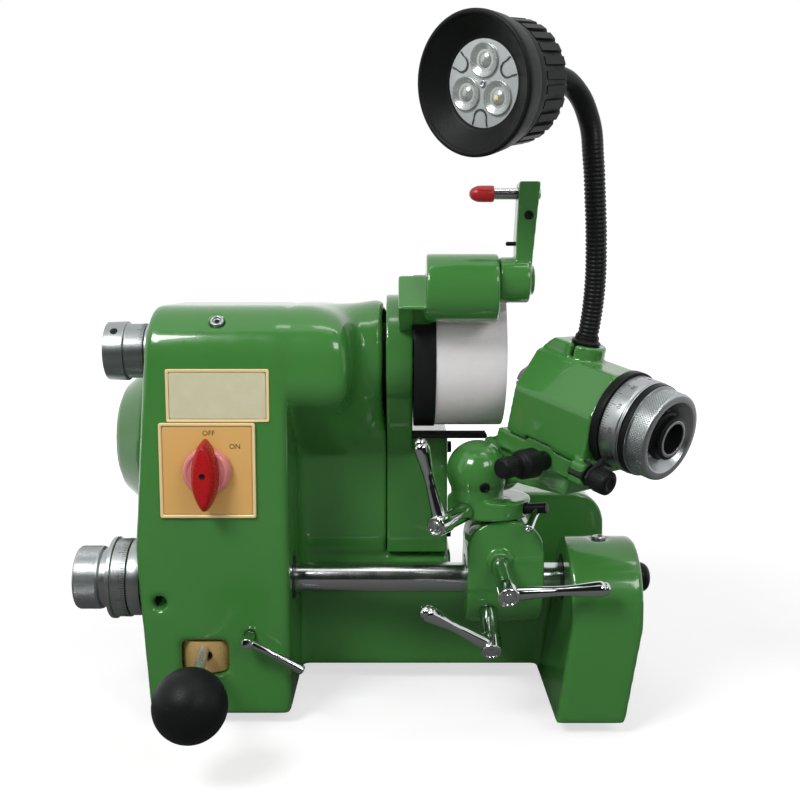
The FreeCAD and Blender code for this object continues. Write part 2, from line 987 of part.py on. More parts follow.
def wheelhead():
    shoulder_view = [
        (dim.bed_front, dim.bed_top),
        (dim.bed_back, dim.bed_top),
        (dim.bed_back, dim.tower_back_height),
        (dim.tower_shoulder_y, dim.tower_shoulder_height),
        (dim.shoulder_back, dim.column_top),
        (dim.shoulder_front, dim.column_top),
        (dim.shoulder_front, dim.shoulder_brow),
        (dim.bed_front, dim.tower_kink_height),
    ]
    shoulder = pad("shoulder", "YZ", shoulder_view, (dim.column_right, dim.shoulder_right))
    middle = (dim.column_right + dim.shoulder_right) / 2
    for height, radius in (
        (dim.column_top, dim.crown_radius),
        (dim.shoulder_brow, dim.shoulder_brow_radius),
    ):
        corner = (middle, dim.shoulder_front, height)
        round_edges(shoulder, radius, lambda spot: all(map(near, spot, corner)))
    tower = pad("tower", "YZ", tower_view(), (dim.shoulder_right, dim.head_right))
    barrel = rod("barrel", "x", (dim.shoulder_right, dim.head_right), dim.barrel_radius, spindle_at)
    collar = rod("barrel_ring", "x", (dim.ring_left, dim.head_right), dim.ring_radius, spindle_at)
    spigot = rod("head_spigot", "x", (dim.spigot_left, dim.column_right), dim.spigot_radius, spindle_at)
    bore = rod(
        "quill_bore",
        "x",
        (dim.spigot_left, dim.head_right),
        dim.quill_radius + dim.running_gap,
        spindle_at,
    )
    shaft_hole = rod(
        "motor_shaft_hole",
        "x",
        (dim.column_right, dim.head_right),
        dim.motor_shaft_radius * 1.75,
        motor_at,
    )
    chamber = belt_chamber("head_chamber", (dim.chamber_left, dim.head_right))
    wall = dim.bed_wall
    hollow = box(
        "tower_hollow",
        (dim.column_right + wall, dim.head_right),
        (dim.bed_front + wall, dim.bed_back - wall),
        (dim.bed_top + wall, dim.motor_height - dim.motor_shaft_radius),
    )
    whole = fuse("wheelhead_whole", shoulder, tower, barrel, collar, spigot)
    node("wheelhead_casting", cut("wheelhead_casting", whole, bore, shaft_hole, chamber, hollow))


def belt_cover():
    span = (dim.head_right, dim.cover_right)
    plate = pad("cover_plate", "YZ", tower_view(), span)
    crown = rod("cover_crown", "x", span, dim.ring_radius, spindle_at)
    depth = (dim.bed_front, dim.bed_back)
    height = (dim.bed_top + dim.face_gap * 4, dim.cover_box_top)
    bulge = box("cover_bulge", (dim.cover_right, dim.cover_box_right), depth, height)
    wall = dim.cover_box_wall
    hollow = box(
        "cover_hollow",
        (dim.head_right, dim.cover_box_right - wall),
        (depth[0] + wall, depth[1] - wall),
        (height[0] + wall, height[1] - wall),
    )
    chamber = belt_chamber("cover_chamber", (dim.head_right, dim.cover_right - dim.cover_wall))
    mouth = rod("cover_mouth", "x", span, dim.cover_mouth_radius, spindle_at)
    under = box("cover_under", span, depth, (dim.bed_top, height[0]))
    whole = fuse("cover_whole", plate, crown, bulge)
    node("belt_cover", cut("belt_cover", whole, hollow, chamber, mouth, under))

    inset = dim.cover_screw_inset
    screws = [
        rod(
            f"cover_screw_{index}",
            "x",
            (dim.cover_box_right, dim.cover_box_right + dim.cover_screw_head),
            dim.cover_screw_radius,
            (y, z),
        )
        for index, (y, z) in enumerate(
            [
                (depth[0] + inset, height[0] + inset),
                (depth[1] - inset, height[0] + inset),
                (depth[0] + inset, height[1] - inset),
                (depth[1] - inset, height[1] - inset),
            ]
        )
    ]
    node("cover_screws", group("cover_screws", *screws))

    lip = box(
        "spark_lip",
        (dim.cover_right, dim.lip_right),
        (dim.lip_front, dim.lip_back),
        (dim.cover_box_top, dim.cover_box_top + dim.lip_thickness),
    )
    node("spark_lip", lip)


# Motor and belt


def motor():
    bore = dim.motor_shaft_radius + dim.running_gap
    inside = dim.motor_radius - dim.motor_wall
    left = dim.motor_left + dim.motor_shield
    right = dim.column_right - dim.motor_shield
    shell = [
        (dim.motor_left, bore),
        (left, bore),
        (left, inside),
        (dim.rotor_left, inside),
        (dim.rotor_left, dim.rotor_radius + dim.face_gap * 2),
        (dim.rotor_right, dim.rotor_radius + dim.face_gap * 2),
        (dim.rotor_right, inside),
        (right, inside),
        (right, bore),
        (dim.column_right, bore),
        (dim.column_right, dim.motor_radius),
        (dim.motor_left, dim.motor_radius),
    ]
    node("motor_body", turned("motor_body", shell, motor_at))

    fan_right = dim.motor_shaft_left + dim.fan_width
    rotor = [
        (dim.motor_shaft_left, 0),
        (dim.motor_pulley_right, 0),
        (dim.motor_pulley_right, dim.motor_pulley_radius),
        (dim.motor_pulley_left, dim.motor_pulley_radius),
        (dim.motor_pulley_left, dim.motor_shaft_radius),
        (dim.rotor_right, dim.motor_shaft_radius),
        (dim.rotor_right, dim.rotor_radius),
        (dim.rotor_left, dim.rotor_radius),
        (dim.rotor_left, dim.motor_shaft_radius),
        (fan_right, dim.motor_shaft_radius),
        (fan_right, dim.fan_radius),
        (dim.motor_shaft_left, dim.fan_radius),
    ]
    node("motor_rotor", turned("motor_rotor", rotor, motor_at))

    cowl = [
        (dim.cowl_left, 0),
        (dim.cowl_left + dim.cowl_wall, 0),
        (dim.cowl_left + dim.cowl_wall, dim.cowl_nose_radius - dim.cowl_wall),
        (dim.cowl_shoulder, dim.cowl_radius - dim.cowl_wall),
        (dim.motor_left, dim.cowl_radius - dim.cowl_wall),
        (dim.motor_left, dim.motor_radius),
        (dim.motor_left + dim.motor_wall * 2, dim.motor_radius),
        (dim.motor_left + dim.motor_wall * 2, dim.cowl_radius),
        (dim.cowl_shoulder, dim.cowl_radius),
        (dim.cowl_left, dim.cowl_nose_radius),
    ]
    node("motor_cowl", turned("motor_cowl", cowl, motor_at))


def belt_loop(gap):
    """A closed loop round both pulleys at a set distance, on the plane of the belt's left side."""
    upper = Vector(dim.belt_left.number, dim.spindle_y.number, dim.spindle_height.number)
    lower = Vector(dim.belt_left.number, dim.motor_y.number, dim.motor_height.number)
    small = dim.spindle_pulley_radius.number + gap
    large = dim.motor_pulley_radius.number + gap
    line = lower - upper
    direct = Vector(line).normalize()
    side = Vector(1, 0, 0).cross(direct)
    lean = math.asin((large - small) / line.Length)
    left = side * math.cos(lean) - direct * math.sin(lean)
    right = side * -math.cos(lean) - direct * math.sin(lean)
    edges = [
        Part.LineSegment(upper + left * small, lower + left * large),
        Part.Arc(lower + left * large, lower + direct * large, lower + right * large),
        Part.LineSegment(lower + right * large, upper + right * small),
        Part.Arc(upper + right * small, upper - direct * small, upper + left * small),
    ]
    return Part.Wire([edge.toShape() for edge in edges])


def drive_belt():
    gap = dim.face_gap.number
    outer = Part.Face(belt_loop(gap + dim.belt_thickness.number))
    inner = Part.Face(belt_loop(gap))
    obj = doc.addObject("Part::Feature", "drive_belt")
    obj.Shape = outer.cut(inner).extrude(Vector(dim.belt_width.number, 0, 0))
    node("drive_belt", obj)


def cable_gland():
    """The inlet of the mains lead in the back of the bed."""
    spot = (0, (dim.bed_underside + dim.bed_top) / 2)
    span = (dim.bed_back, dim.bed_back + dim.gland_length)
    body = rod("gland_body", "y", span, dim.gland_radius, spot)
    bore = rod("gland_bore", "y", span, dim.gland_bore, spot)
    node("cable_gland", cut("cable_gland", body, bore))


# Quill and grinding spindle


def quill():
    seat = dim.bearing_width + 2
    thread = dim.feed_screw_radius + dim.running_gap
    shell = [
        (dim.feed_nut_left, thread),
        (dim.feed_nut_floor, thread),
        (dim.feed_nut_floor, 0),
        (dim.quill_left, 0),
        (dim.quill_left, dim.bearing_radius),
        (dim.quill_left + seat, dim.bearing_radius),
        (dim.quill_left + seat, dim.quill_bore),
        (dim.quill_right - seat, dim.quill_bore),
        (dim.quill_right - seat, dim.bearing_radius),
        (dim.quill_right, dim.bearing_radius),
        (dim.quill_right, dim.quill_radius),
        (dim.feed_nut_left, dim.quill_radius),
    ]
    node("quill", turned("quill", shell, spindle_at))

    races = [
        ring(
            f"spindle_bearing_{index}",
            (start, start + dim.bearing_width),
            dim.bearing_radius,
            dim.spindle_radius + dim.running_gap,
            spindle_at,
        )
        for index, start in enumerate((dim.quill_left + 2, dim.quill_right - dim.bearing_width - 2))
    ]
    node("spindle_bearings", group("spindle_bearings", *races))


def spindle():
    wheel_right = dim.wheel_left + dim.wheel_width
    nut_left = wheel_right - dim.wheel_recess_depth
    nut_right = nut_left + dim.wheel_nut_length
    shaft = [
        (dim.quill_left + 2, 0),
        (nut_right, 0),
        (nut_right, dim.wheel_bore),
        (dim.wheel_hub_left, dim.wheel_bore),
        (dim.wheel_hub_left, dim.spindle_shoulder),
        (dim.spindle_pulley_right, dim.spindle_shoulder),
        (dim.spindle_pulley_right, dim.spindle_pulley_radius),
        (dim.spindle_pulley_left, dim.spindle_pulley_radius),
        (dim.spindle_pulley_left, dim.spindle_radius),
        (dim.quill_left + 2, dim.spindle_radius),
    ]
    node("spindle", turned("spindle", shaft, spindle_at))

    hub = [
        (dim.wheel_hub_left, dim.wheel_bore),
        (dim.wheel_left, dim.wheel_bore),
        (dim.wheel_left, dim.wheel_radius),
        (dim.wheel_left + dim.wheel_hub_rim, dim.wheel_radius),
        (dim.wheel_left + dim.wheel_hub_rim, dim.wheel_hub_radius),
        (dim.wheel_hub_left, dim.wheel_hub_radius),
    ]
    node("wheel_hub", turned("wheel_hub", hub, spindle_at))

    wheel = [
        (dim.wheel_left, dim.wheel_bore),
        (nut_left, dim.wheel_bore),
        (nut_left, dim.wheel_recess_radius),
        (wheel_right, dim.wheel_recess_radius),
        (wheel_right, dim.wheel_radius),
        (dim.wheel_left, dim.wheel_radius),
    ]
    node("grinding_wheel", turned("grinding_wheel", wheel, spindle_at))

    nut = [
        (nut_left, dim.wheel_bore),
        (nut_right, dim.wheel_bore),
        (nut_right, dim.wheel_nut_hub),
        (nut_left + dim.wheel_nut_flange, dim.wheel_nut_hub),
        (nut_left + dim.wheel_nut_flange, dim.wheel_nut_radius),
        (nut_left, dim.wheel_nut_radius),
    ]
    node("wheel_nut", turned("wheel_nut", nut, spindle_at))


def wheel_feed():
    """The knob on the upper left that screws the quill in and out."""
    bore = dim.feed_screw_radius + dim.running_gap
    collar = [
        (dim.feed_collar_left, bore),
        (dim.column_left_top + dim.column_wall, bore),
        (dim.column_left_top + dim.column_wall, dim.feed_spigot_radius),
        (dim.feed_collar_right, dim.feed_spigot_radius),
        (dim.feed_collar_right, dim.feed_collar_radius),
        (dim.feed_collar_left, dim.feed_collar_radius),
    ]
    node("feed_collar", turned("feed_collar", collar, spindle_at))

    knob = [
        (dim.feed_knob_left, 0),
        (dim.feed_screw_right, 0),
        (dim.feed_screw_right, dim.feed_screw_radius),
        (dim.feed_collar_left - dim.face_gap, dim.feed_screw_radius),
        (dim.feed_collar_left - dim.face_gap, dim.feed_collar_radius),
        (dim.feed_knob_step, dim.feed_collar_radius),
        (dim.feed_knob_step, dim.feed_knob_radius),
        (dim.feed_knob_left, dim.feed_knob_radius),
    ]
    tommy = rod(
        "tommy_hole",
        "y",
        (dim.spindle_y - dim.feed_knob_radius, dim.spindle_y - dim.feed_knob_radius / 2),
        dim.tommy_hole_radius,
        ((dim.feed_knob_left + dim.feed_knob_step) / 2, dim.spindle_height),
    )
    node("feed_knob", cut("feed_knob", turned("feed_knob_turned", knob, spindle_at), tommy))


# Guide bar, its micrometer stop and the ball lever


def guide_bar():
    bar = rod("guide_round", "x", (dim.guide_left, dim.guide_right), dim.guide_radius, guide_at)
    half = dim.crank_pin_radius + dim.crank_slot_gap
    slot = box(
        "crank_slot",
        (drum_at[0] - half, drum_at[0] + half),
        (dim.guide_y - dim.guide_radius, dim.guide_y + dim.guide_radius),
        (dim.guide_height - dim.guide_radius, dim.guide_height - dim.guide_radius + dim.crank_slot_depth),
    )
    node("guide_bar", cut("guide_bar", bar, slot))

    bore = dim.guide_radius + dim.running_gap
    spans = [
        (dim.column_right - dim.column_wall * 1.5, dim.column_right),
        (dim.pedestal_left, dim.pedestal_right),
    ]
    bushes = [
        ring(f"guide_bush_{index}", span, dim.guide_bush_radius, bore, guide_at)
        for index, span in enumerate(spans)
    ]
    node("guide_bushes", group("guide_bushes", *bushes))


def guide_stop():
    bore = dim.stop_screw_radius + dim.running_gap
    collar = [
        (dim.stop_collar_left, bore),
        (dim.stop_spigot_right, bore),
        (dim.stop_spigot_right, dim.stop_spigot_radius),
        (dim.stop_collar_right, dim.stop_spigot_radius),
        (dim.stop_collar_right, dim.stop_collar_radius),
        (dim.stop_collar_left, dim.stop_collar_radius),
    ]
    node("stop_collar", turned("stop_collar", collar, guide_at))

    knob_right = dim.stop_collar_left - dim.face_gap
    knob = [
        (dim.stop_knob_left, 0),
        (dim.stop_screw_left - 4, 0),
        (dim.stop_screw_left - 4, dim.stop_bore_radius),
        (knob_right, dim.stop_bore_radius),
        (knob_right, dim.stop_scale_radius),
        (dim.stop_flange_right, dim.stop_scale_radius),
        (dim.stop_flange_right, dim.stop_flange_radius),
        (dim.stop_flange_left, dim.stop_flange_radius),
        (dim.stop_flange_left, dim.stop_neck_radius),
        (dim.stop_knob_neck, dim.stop_neck_radius),
        (dim.stop_knob_neck, dim.stop_knob_radius),
        (dim.stop_knob_left, dim.stop_knob_radius),
    ]
    node("stop_knob", turned("stop_knob", knob, guide_at))
    screw = rod(
        "stop_screw", "x", (dim.stop_screw_left, dim.stop_screw_right), dim.stop_screw_radius, guide_at
    )
    node("stop_screw", screw)


def ball_lever():
    drum = rod("drum_round", "z", (dim.drum_bottom, dim.drum_top), dim.drum_radius, drum_at)
    pivot = rod(
        "drum_pivot",
        "z",
        (dim.drum_bottom - dim.drum_pivot_length, dim.drum_bottom),
        dim.drum_pivot_radius,
        drum_at,
    )
    crank = rod(
        "crank_pin",
        "z",
        (dim.drum_top, dim.guide_height - dim.guide_radius + dim.crank_slot_depth - 1),
        dim.crank_pin_radius,
        (drum_at[0], dim.guide_y),
    )
    middle = (dim.drum_bottom + dim.drum_top) / 2
    yaw = math.radians(float(dim.lever_yaw))
    rise = math.radians(float(dim.lever_rise))
    outward = Vector(math.sin(yaw), -math.cos(yaw) * math.cos(rise), math.sin(rise))
    frame = frame_of([float(drum_at[0]), float(drum_at[1]), float(middle)], outward, (1, 0, 0))
    seat = rod("lever_seat", "z", (0, dim.drum_radius * 2), dim.lever_rod_radius)
    whole = fuse("drum_whole", drum, pivot, crank)
    node("lever_drum", cut("lever_drum", whole, moved("lever_seat_placed", seat, frame)))

    ball_flat = dim.ball_radius * 0.9
    stem = rod("lever_stem", "z", (0, dim.lever_length - ball_flat), dim.lever_rod_radius)
    node("lever_rod", stem, frame)
    knob = ball("ball_round", dim.ball_radius, (0, 0, dim.lever_length))
    flat_span = (dim.lever_length - dim.ball_radius, dim.lever_length - ball_flat)
    flat = rod("ball_flat", "z", flat_span, dim.ball_radius)
    node("ball_knob", cut("ball_cut", knob, flat), frame)


# Clamping levers


def lever(name, frame, post, reach):
    """A clamping lever: a stud, a post, a hub across its end and a tapered arm with a round tip."""
    half = dim.lever_hub_height / 2
    parts = [
        rod(f"{name}_stud", "z", (-dim.stud_depth, dim.post_gap), dim.stud_radius),
        rod(f"{name}_post", "z", (dim.post_gap, post), dim.post_radius),
        rod(f"{name}_hub", "z", (post - half, post + half), dim.lever_hub_radius),
        cone(f"{name}_arm", "x", (0, reach), (dim.lever_arm_root, dim.lever_arm_tip), (0, post)),
        ball(f"{name}_tip", dim.lever_arm_tip, (reach, 0, post)),
    ]
    node(name, fuse(f"{name}_whole", *parts), frame)


def rod_lever(name, frame, post, reach):
    """A small clamp screw with a thin cross rod."""
    parts = [
        rod(f"{name}_stud", "z", (-dim.stud_depth, post), dim.rod_post_radius),
        rod(f"{name}_hub", "z", (dim.post_gap, post + dim.rod_hub_height), dim.rod_post_radius * 1.4),
        rod(f"{name}_arm", "x", (0, reach), dim.rod_arm_radius, (0, post)),
        ball(f"{name}_tip", dim.rod_arm_radius, (reach, 0, post)),
    ]
    node(name, fuse(f"{name}_whole", *parts), frame)


def stud_hole(name, frame, radius):
    hole = rod(name, "z", (-dim.stud_depth - 1, 1), radius + dim.running_gap)
    return moved(f"{name}_placed", hole, frame)


def on_flange(turn, drop):
    """A frame on the rim of the swivel flange, pointing out of it at a turn from +X."""
    angle = math.radians(turn)
    outward = (math.cos(angle), math.sin(angle), drop)
    radius = float(dim.swivel_flange_radius)
    spot = (
        float(dim.swivel_x) + radius * math.cos(angle),
        float(dim.swivel_y) + radius * math.sin(angle),
        float(dim.bracket_top + dim.face_gap + dim.swivel_flange_height / 2),
    )
    return spot, outward


def on_guide(x, turn):
    """A frame on the round of the bracket, pointing away from the guide bar at a turn below -Y."""
    angle = math.radians(turn)
    outward = (0, -math.cos(angle), -math.sin(angle))
    radius = float(dim.bracket_radius)
    spot = (
        float(x),
        float(dim.guide_y) + radius * outward[1],
        float(dim.guide_height) + radius * outward[2],
    )
    return spot, outward


rock_boss_spot = (
    float(dim.rock_lever_x),
    float(dim.bracket_front - dim.rock_boss_height),
    float(dim.rock_lever_height),
)
lever_frames = {
    "swivel_lever": frame_of(*on_flange(233, -0.1), (-17, -3, 47)),
    "knuckle_lever": frame_of(*on_flange(-30.5, 0.15), (-9, -18, -10)),
    "rock_lever": frame_of(rock_boss_spot, (0.05, -0.96, -0.27), (58, 0, 1.5)),
    "slide_lever": frame_of(*on_guide(dim.slide_lever_x, 32.3), (-40, -5, 34)),
    "column_lever": frame_of(
        (float(dim.column_lever_x), float(dim.column_front), float(dim.column_lever_height)),
        (0, -1, 0),
        (33.5, 0, -18.6),
    ),
}


def clamping_levers():
    lever("swivel_lever", lever_frames["swivel_lever"], dim.swivel_lever_post, dim.swivel_lever_reach)
    lever("rock_lever", lever_frames["rock_lever"], dim.rock_lever_post, dim.rock_lever_reach)
    lever("slide_lever", lever_frames["slide_lever"], dim.slide_lever_post, dim.slide_lever_reach)
    rod_lever(
        "knuckle_lever", lever_frames["knuckle_lever"], dim.knuckle_lever_post, dim.knuckle_lever_reach
    )
    rod_lever("column_lever", lever_frames["column_lever"], dim.column_lever_post, dim.column_lever_reach)


# Bracket on the guide bar, swivel and tilting knuckle


def bar_bracket():
    width = (dim.bracket_left, dim.bracket_right)
    barrel = rod("bracket_barrel", "x", width, dim.bracket_radius, guide_at)
    block = pad(
        "bracket_block",
        "XZ",
        [
            (dim.bracket_left, dim.guide_height),
            (dim.bracket_right, dim.guide_height),
            (dim.bracket_right, dim.bracket_top),
            (dim.bracket_left, dim.bracket_top),
        ],
        (dim.bracket_front, dim.bracket_back),
    )
    round_edges(
        block,
        dim.bracket_edge_radius,
        lambda spot: near(spot.z, dim.bracket_top)
        and (near(spot.x, dim.bracket_left) or near(spot.x, dim.bracket_right)),
    )
    boss = rod("rock_boss", "z", (-dim.stud_depth, 0), dim.rock_boss_radius)
    bush_hole = rod("bracket_bore", "x", width, dim.bracket_bush_radius + dim.running_gap, guide_at)
    pivot_hole = rod(
        "swivel_pivot_hole",
        "z",
        (dim.bracket_top - dim.swivel_pivot_depth - dim.face_gap, dim.bracket_top),
        dim.swivel_pivot_radius + dim.running_gap,
        (dim.swivel_x, dim.swivel_y),
    )
    holes = [
        stud_hole(f"{name}_hole", lever_frames[name], dim.stud_radius)
        for name in ("rock_lever", "slide_lever")
    ]
    boss = moved("rock_boss_placed", boss, lever_frames["rock_lever"])
    whole = fuse("bracket_whole", barrel, block, boss)
    node("bar_bracket", cut("bar_bracket", whole, bush_hole, pivot_hole, *holes))

    bush = ring(
        "bracket_bush",
        (dim.bracket_left - dim.bracket_bush_lip, dim.bracket_right + dim.bracket_bush_lip),
        dim.bracket_bush_radius,
        dim.guide_radius + dim.running_gap,
        guide_at,
    )
    node("bracket_bush", bush)


def knuckle_spot():
    """The tilting axis in the frame of the index head."""
    centre = Vector(float(dim.knuckle_x), float(dim.knuckle_y), float(knuckle_height))
    return head_frame.inverse().multVec(centre)


def swivel_block():
    low = dim.bracket_top + dim.face_gap
    high = low + dim.swivel_flange_height
    at = (dim.swivel_x, dim.swivel_y)
    flange = rod("swivel_flange", "z", (low, high), dim.swivel_flange_radius, at)
    pivot = rod(
        "swivel_pivot", "z", (dim.bracket_top - dim.swivel_pivot_depth, low), dim.swivel_pivot_radius, at
    )
    spot = (dim.knuckle_x, dim.knuckle_y)
    dome = ball("knuckle_dome", dim.knuckle_radius, (*spot, knuckle_height))
    neck = rod("knuckle_neck", "z", (high - 1, knuckle_height), dim.knuckle_radius * 0.85, spot)
    centre = knuckle_spot()
    reach = dim.knuckle_radius * 2
    face = box(
        "knuckle_face",
        (-reach + centre.x, reach + centre.x),
        (dim.knuckle_flat + centre.y, reach + centre.y),
        (-reach + centre.z, reach + centre.z),
    )
    hole = rod(
        "tilt_pin_hole",
        "y",
        (dim.knuckle_flat + centre.y - dim.tilt_pin_length - 1, dim.knuckle_flat + centre.y),
        dim.tilt_pin_radius + dim.running_gap,
        (centre.x, centre.z),
    )
    face = moved("knuckle_face_placed", face, head_frame)
    hole = moved("tilt_pin_hole_placed", hole, head_frame)
    above = cut("knuckle", fuse("knuckle_whole", dome, neck), face)
    studs = [
        stud_hole("swivel_lever_hole", lever_frames["swivel_lever"], dim.stud_radius),
        stud_hole("knuckle_lever_hole", lever_frames["knuckle_lever"], dim.rod_post_radius),
    ]
    whole = fuse("swivel_whole", flange, pivot, above)
    node("swivel_block", cut("swivel_block", whole, hole, *studs))


def tilt_arm():
    centre = knuckle_spot()
    near_face = dim.knuckle_flat + centre.y + dim.face_gap
    at = (centre.x, centre.z)
    hub = rod("tilt_hub", "y", (near_face, near_face + dim.tilt_hub_width), dim.tilt_hub_radius, at)
    pin = rod("tilt_pin", "y", (near_face - dim.tilt_pin_length, near_face), dim.tilt_pin_radius, at)
    beam = box(
        "tilt_beam",
        (dim.arm_left, dim.arm_right),
        (-dim.arm_half_width, dim.arm_half_width),
        (dim.arm_top - dim.arm_thickness, dim.arm_top),
    )
    belly_view = [
        (centre.x, centre.z),
        (centre.x, -dim.tilt_hub_radius + centre.z),
        (dim.arm_belly_x, dim.arm_top - dim.arm_belly_drop),
        (dim.arm_right, dim.arm_top - dim.arm_thickness),
        (dim.arm_right, dim.arm_top - dim.arm_thickness / 2),
    ]
    belly = pad("tilt_belly", "XZ", belly_view, (near_face, near_face + dim.tilt_hub_width))
    node("tilt_arm", fuse("tilt_whole", hub, pin, beam, belly), head_frame)

    top = dim.arm_top + dim.slide_thickness
    plate = box(
        "slide_plate",
        (dim.slide_left, dim.slide_right),
        (-dim.slide_half_width, dim.slide_half_width),
        (dim.arm_top, top),
    )
    key = box(
        "slide_key",
        (dim.slide_key_left, dim.slide_key_right),
        (-dim.slide_half_width, dim.slide_half_width),
        (top, top + dim.slide_key_height),
    )
    screw_at = (dim.slide_screw_x, dim.slide_screw_drop)
    hole = rod(
        "slide_screw_hole",
        "y",
        (-dim.slide_half_width, dim.slide_screw_depth - dim.slide_half_width + 1),
        dim.slide_screw_radius + dim.running_gap,
        screw_at,
    )
    node("cross_slide", cut("slide_cut", fuse("slide_whole", plate, key), hole), head_frame)

    face = -dim.slide_half_width - dim.face_gap
    knob_near = face - dim.slide_knob_start
    stem = rod(
        "slide_stem",
        "y",
        (knob_near - dim.slide_knob_length, dim.slide_screw_depth - dim.slide_half_width),
        dim.slide_screw_radius,
        screw_at,
    )
    collar_right = face - dim.slide_collar_start
    collar = rod(
        "slide_collar",
        "y",
        (collar_right - dim.slide_collar_width, collar_right),
        dim.slide_collar_radius,
        screw_at,
    )
    sleeve = rod("slide_sleeve", "y", (collar_right, face), dim.slide_sleeve_radius, screw_at)
    knob = rod(
        "slide_knob", "y", (knob_near - dim.slide_knob_length, knob_near), dim.slide_knob_radius, screw_at
    )
    node("slide_screw", fuse("slide_screw_whole", stem, sleeve, collar, knob), head_frame)


# Index head


def head_body():
    floor = dim.arm_top + dim.slide_thickness + dim.face_gap
    section = [
        (-dim.head_half_width, floor),
        (dim.head_half_width, floor),
        (dim.head_half_width, dim.head_eave),
        (dim.head_ridge_half, dim.head_ridge),
        (-dim.head_ridge_half, dim.head_ridge),
        (-dim.head_half_width, dim.head_eave),
    ]
    span = (dim.head_rear, dim.head_front)
    block = pad("head_block", "YZ", section, span)
    round_edges(block, dim.head_edge_radius, lambda spot: near(spot.x, (span[0] + span[1]) / 2))
    boss_at = (dim.lamp_boss_x, 0)
    boss_low = dim.head_ridge - dim.lamp_stem_depth / 2
    boss = rod("lamp_boss", "z", (boss_low, dim.lamp_boss_top), dim.lamp_boss_radius, boss_at)
    hump_view = [
        (dim.lamp_hump_left, boss_low),
        (dim.lamp_boss_x, boss_low),
        (dim.lamp_boss_x, dim.lamp_boss_top),
        (dim.lamp_hump_left + dim.lamp_hump_slope, dim.lamp_boss_top),
        (dim.lamp_hump_left, dim.lamp_boss_top - dim.lamp_hump_slope),
    ]
    hump = pad("lamp_hump", "XZ", hump_view, (-dim.lamp_hump_half, dim.lamp_hump_half))
    plunger_at = (dim.plunger_side, dim.plunger_drop)
    lug_left = dim.head_front - dim.plunger_lug_sunk
    lug_right = lug_left + dim.plunger_lug_length
    lug = box(
        "plunger_lug",
        (lug_left, lug_right),
        (dim.plunger_side - dim.plunger_lug_half, dim.plunger_side + dim.plunger_lug_half),
        (dim.plunger_drop - dim.plunger_lug_half, dim.plunger_drop + dim.plunger_lug_half),
    )
    tools = [
        rod("index_bore", "x", span, dim.index_bore_radius + dim.running_gap),
        box(
            "key_slot",
            (dim.slide_key_left - dim.running_gap, dim.slide_key_right + dim.running_gap),
            (-dim.head_half_width, dim.head_half_width),
            (floor, floor + dim.slide_key_height),
        ),
        rod(
            "lamp_bore",
            "z",
            (dim.lamp_boss_top - dim.lamp_stem_depth - dim.face_gap, dim.lamp_boss_top),
            dim.lamp_stem_radius + dim.running_gap,
            boss_at,
        ),
        box(
            "lamp_boss_slit",
            (dim.lamp_boss_x - dim.lamp_slit / 2, dim.lamp_boss_x + dim.lamp_slit / 2),
            (-dim.lamp_boss_radius, 0),
            (dim.head_ridge + dim.face_gap, dim.lamp_boss_top),
        ),
        rod(
            "plunger_bore",
            "x",
            (lug_right - dim.plunger_reach - 1, lug_right),
            dim.plunger_radius + dim.running_gap,
            plunger_at,
        ),
    ]
    node("head_body", cut("head_cut", fuse("head_whole", block, boss, hump, lug), *tools), head_frame)

    catch_left = dim.index_ring_end + dim.face_gap
    catch_right = catch_left + dim.catch_thickness
    inward = Vector(float(dim.plunger_side), float(dim.plunger_drop), 0)
    outer = inward.Length
    inward.normalize()
    inner = float(dim.index_ring_radius - dim.catch_bite)
    half = float(dim.catch_half)
    corners = [(inner, -half), (inner, half), (outer, half), (outer, -half)]
    catch_view = [(inward.x * r - inward.y * s, inward.y * r + inward.x * s) for r, s in corners]
    catch = pad("plunger_catch", "YZ", catch_view, (catch_left, catch_right))
    pin_span = (lug_right - dim.plunger_reach, catch_right)
    pin = rod("plunger_pin", "x", pin_span, dim.plunger_radius, plunger_at)
    knob_span = (catch_right - 1, catch_right + dim.plunger_knob_length)
    knob = rod("plunger_knob", "x", knob_span, dim.plunger_knob_radius, plunger_at)
    node("index_plunger", fuse("plunger_whole", pin, catch, knob), head_frame)


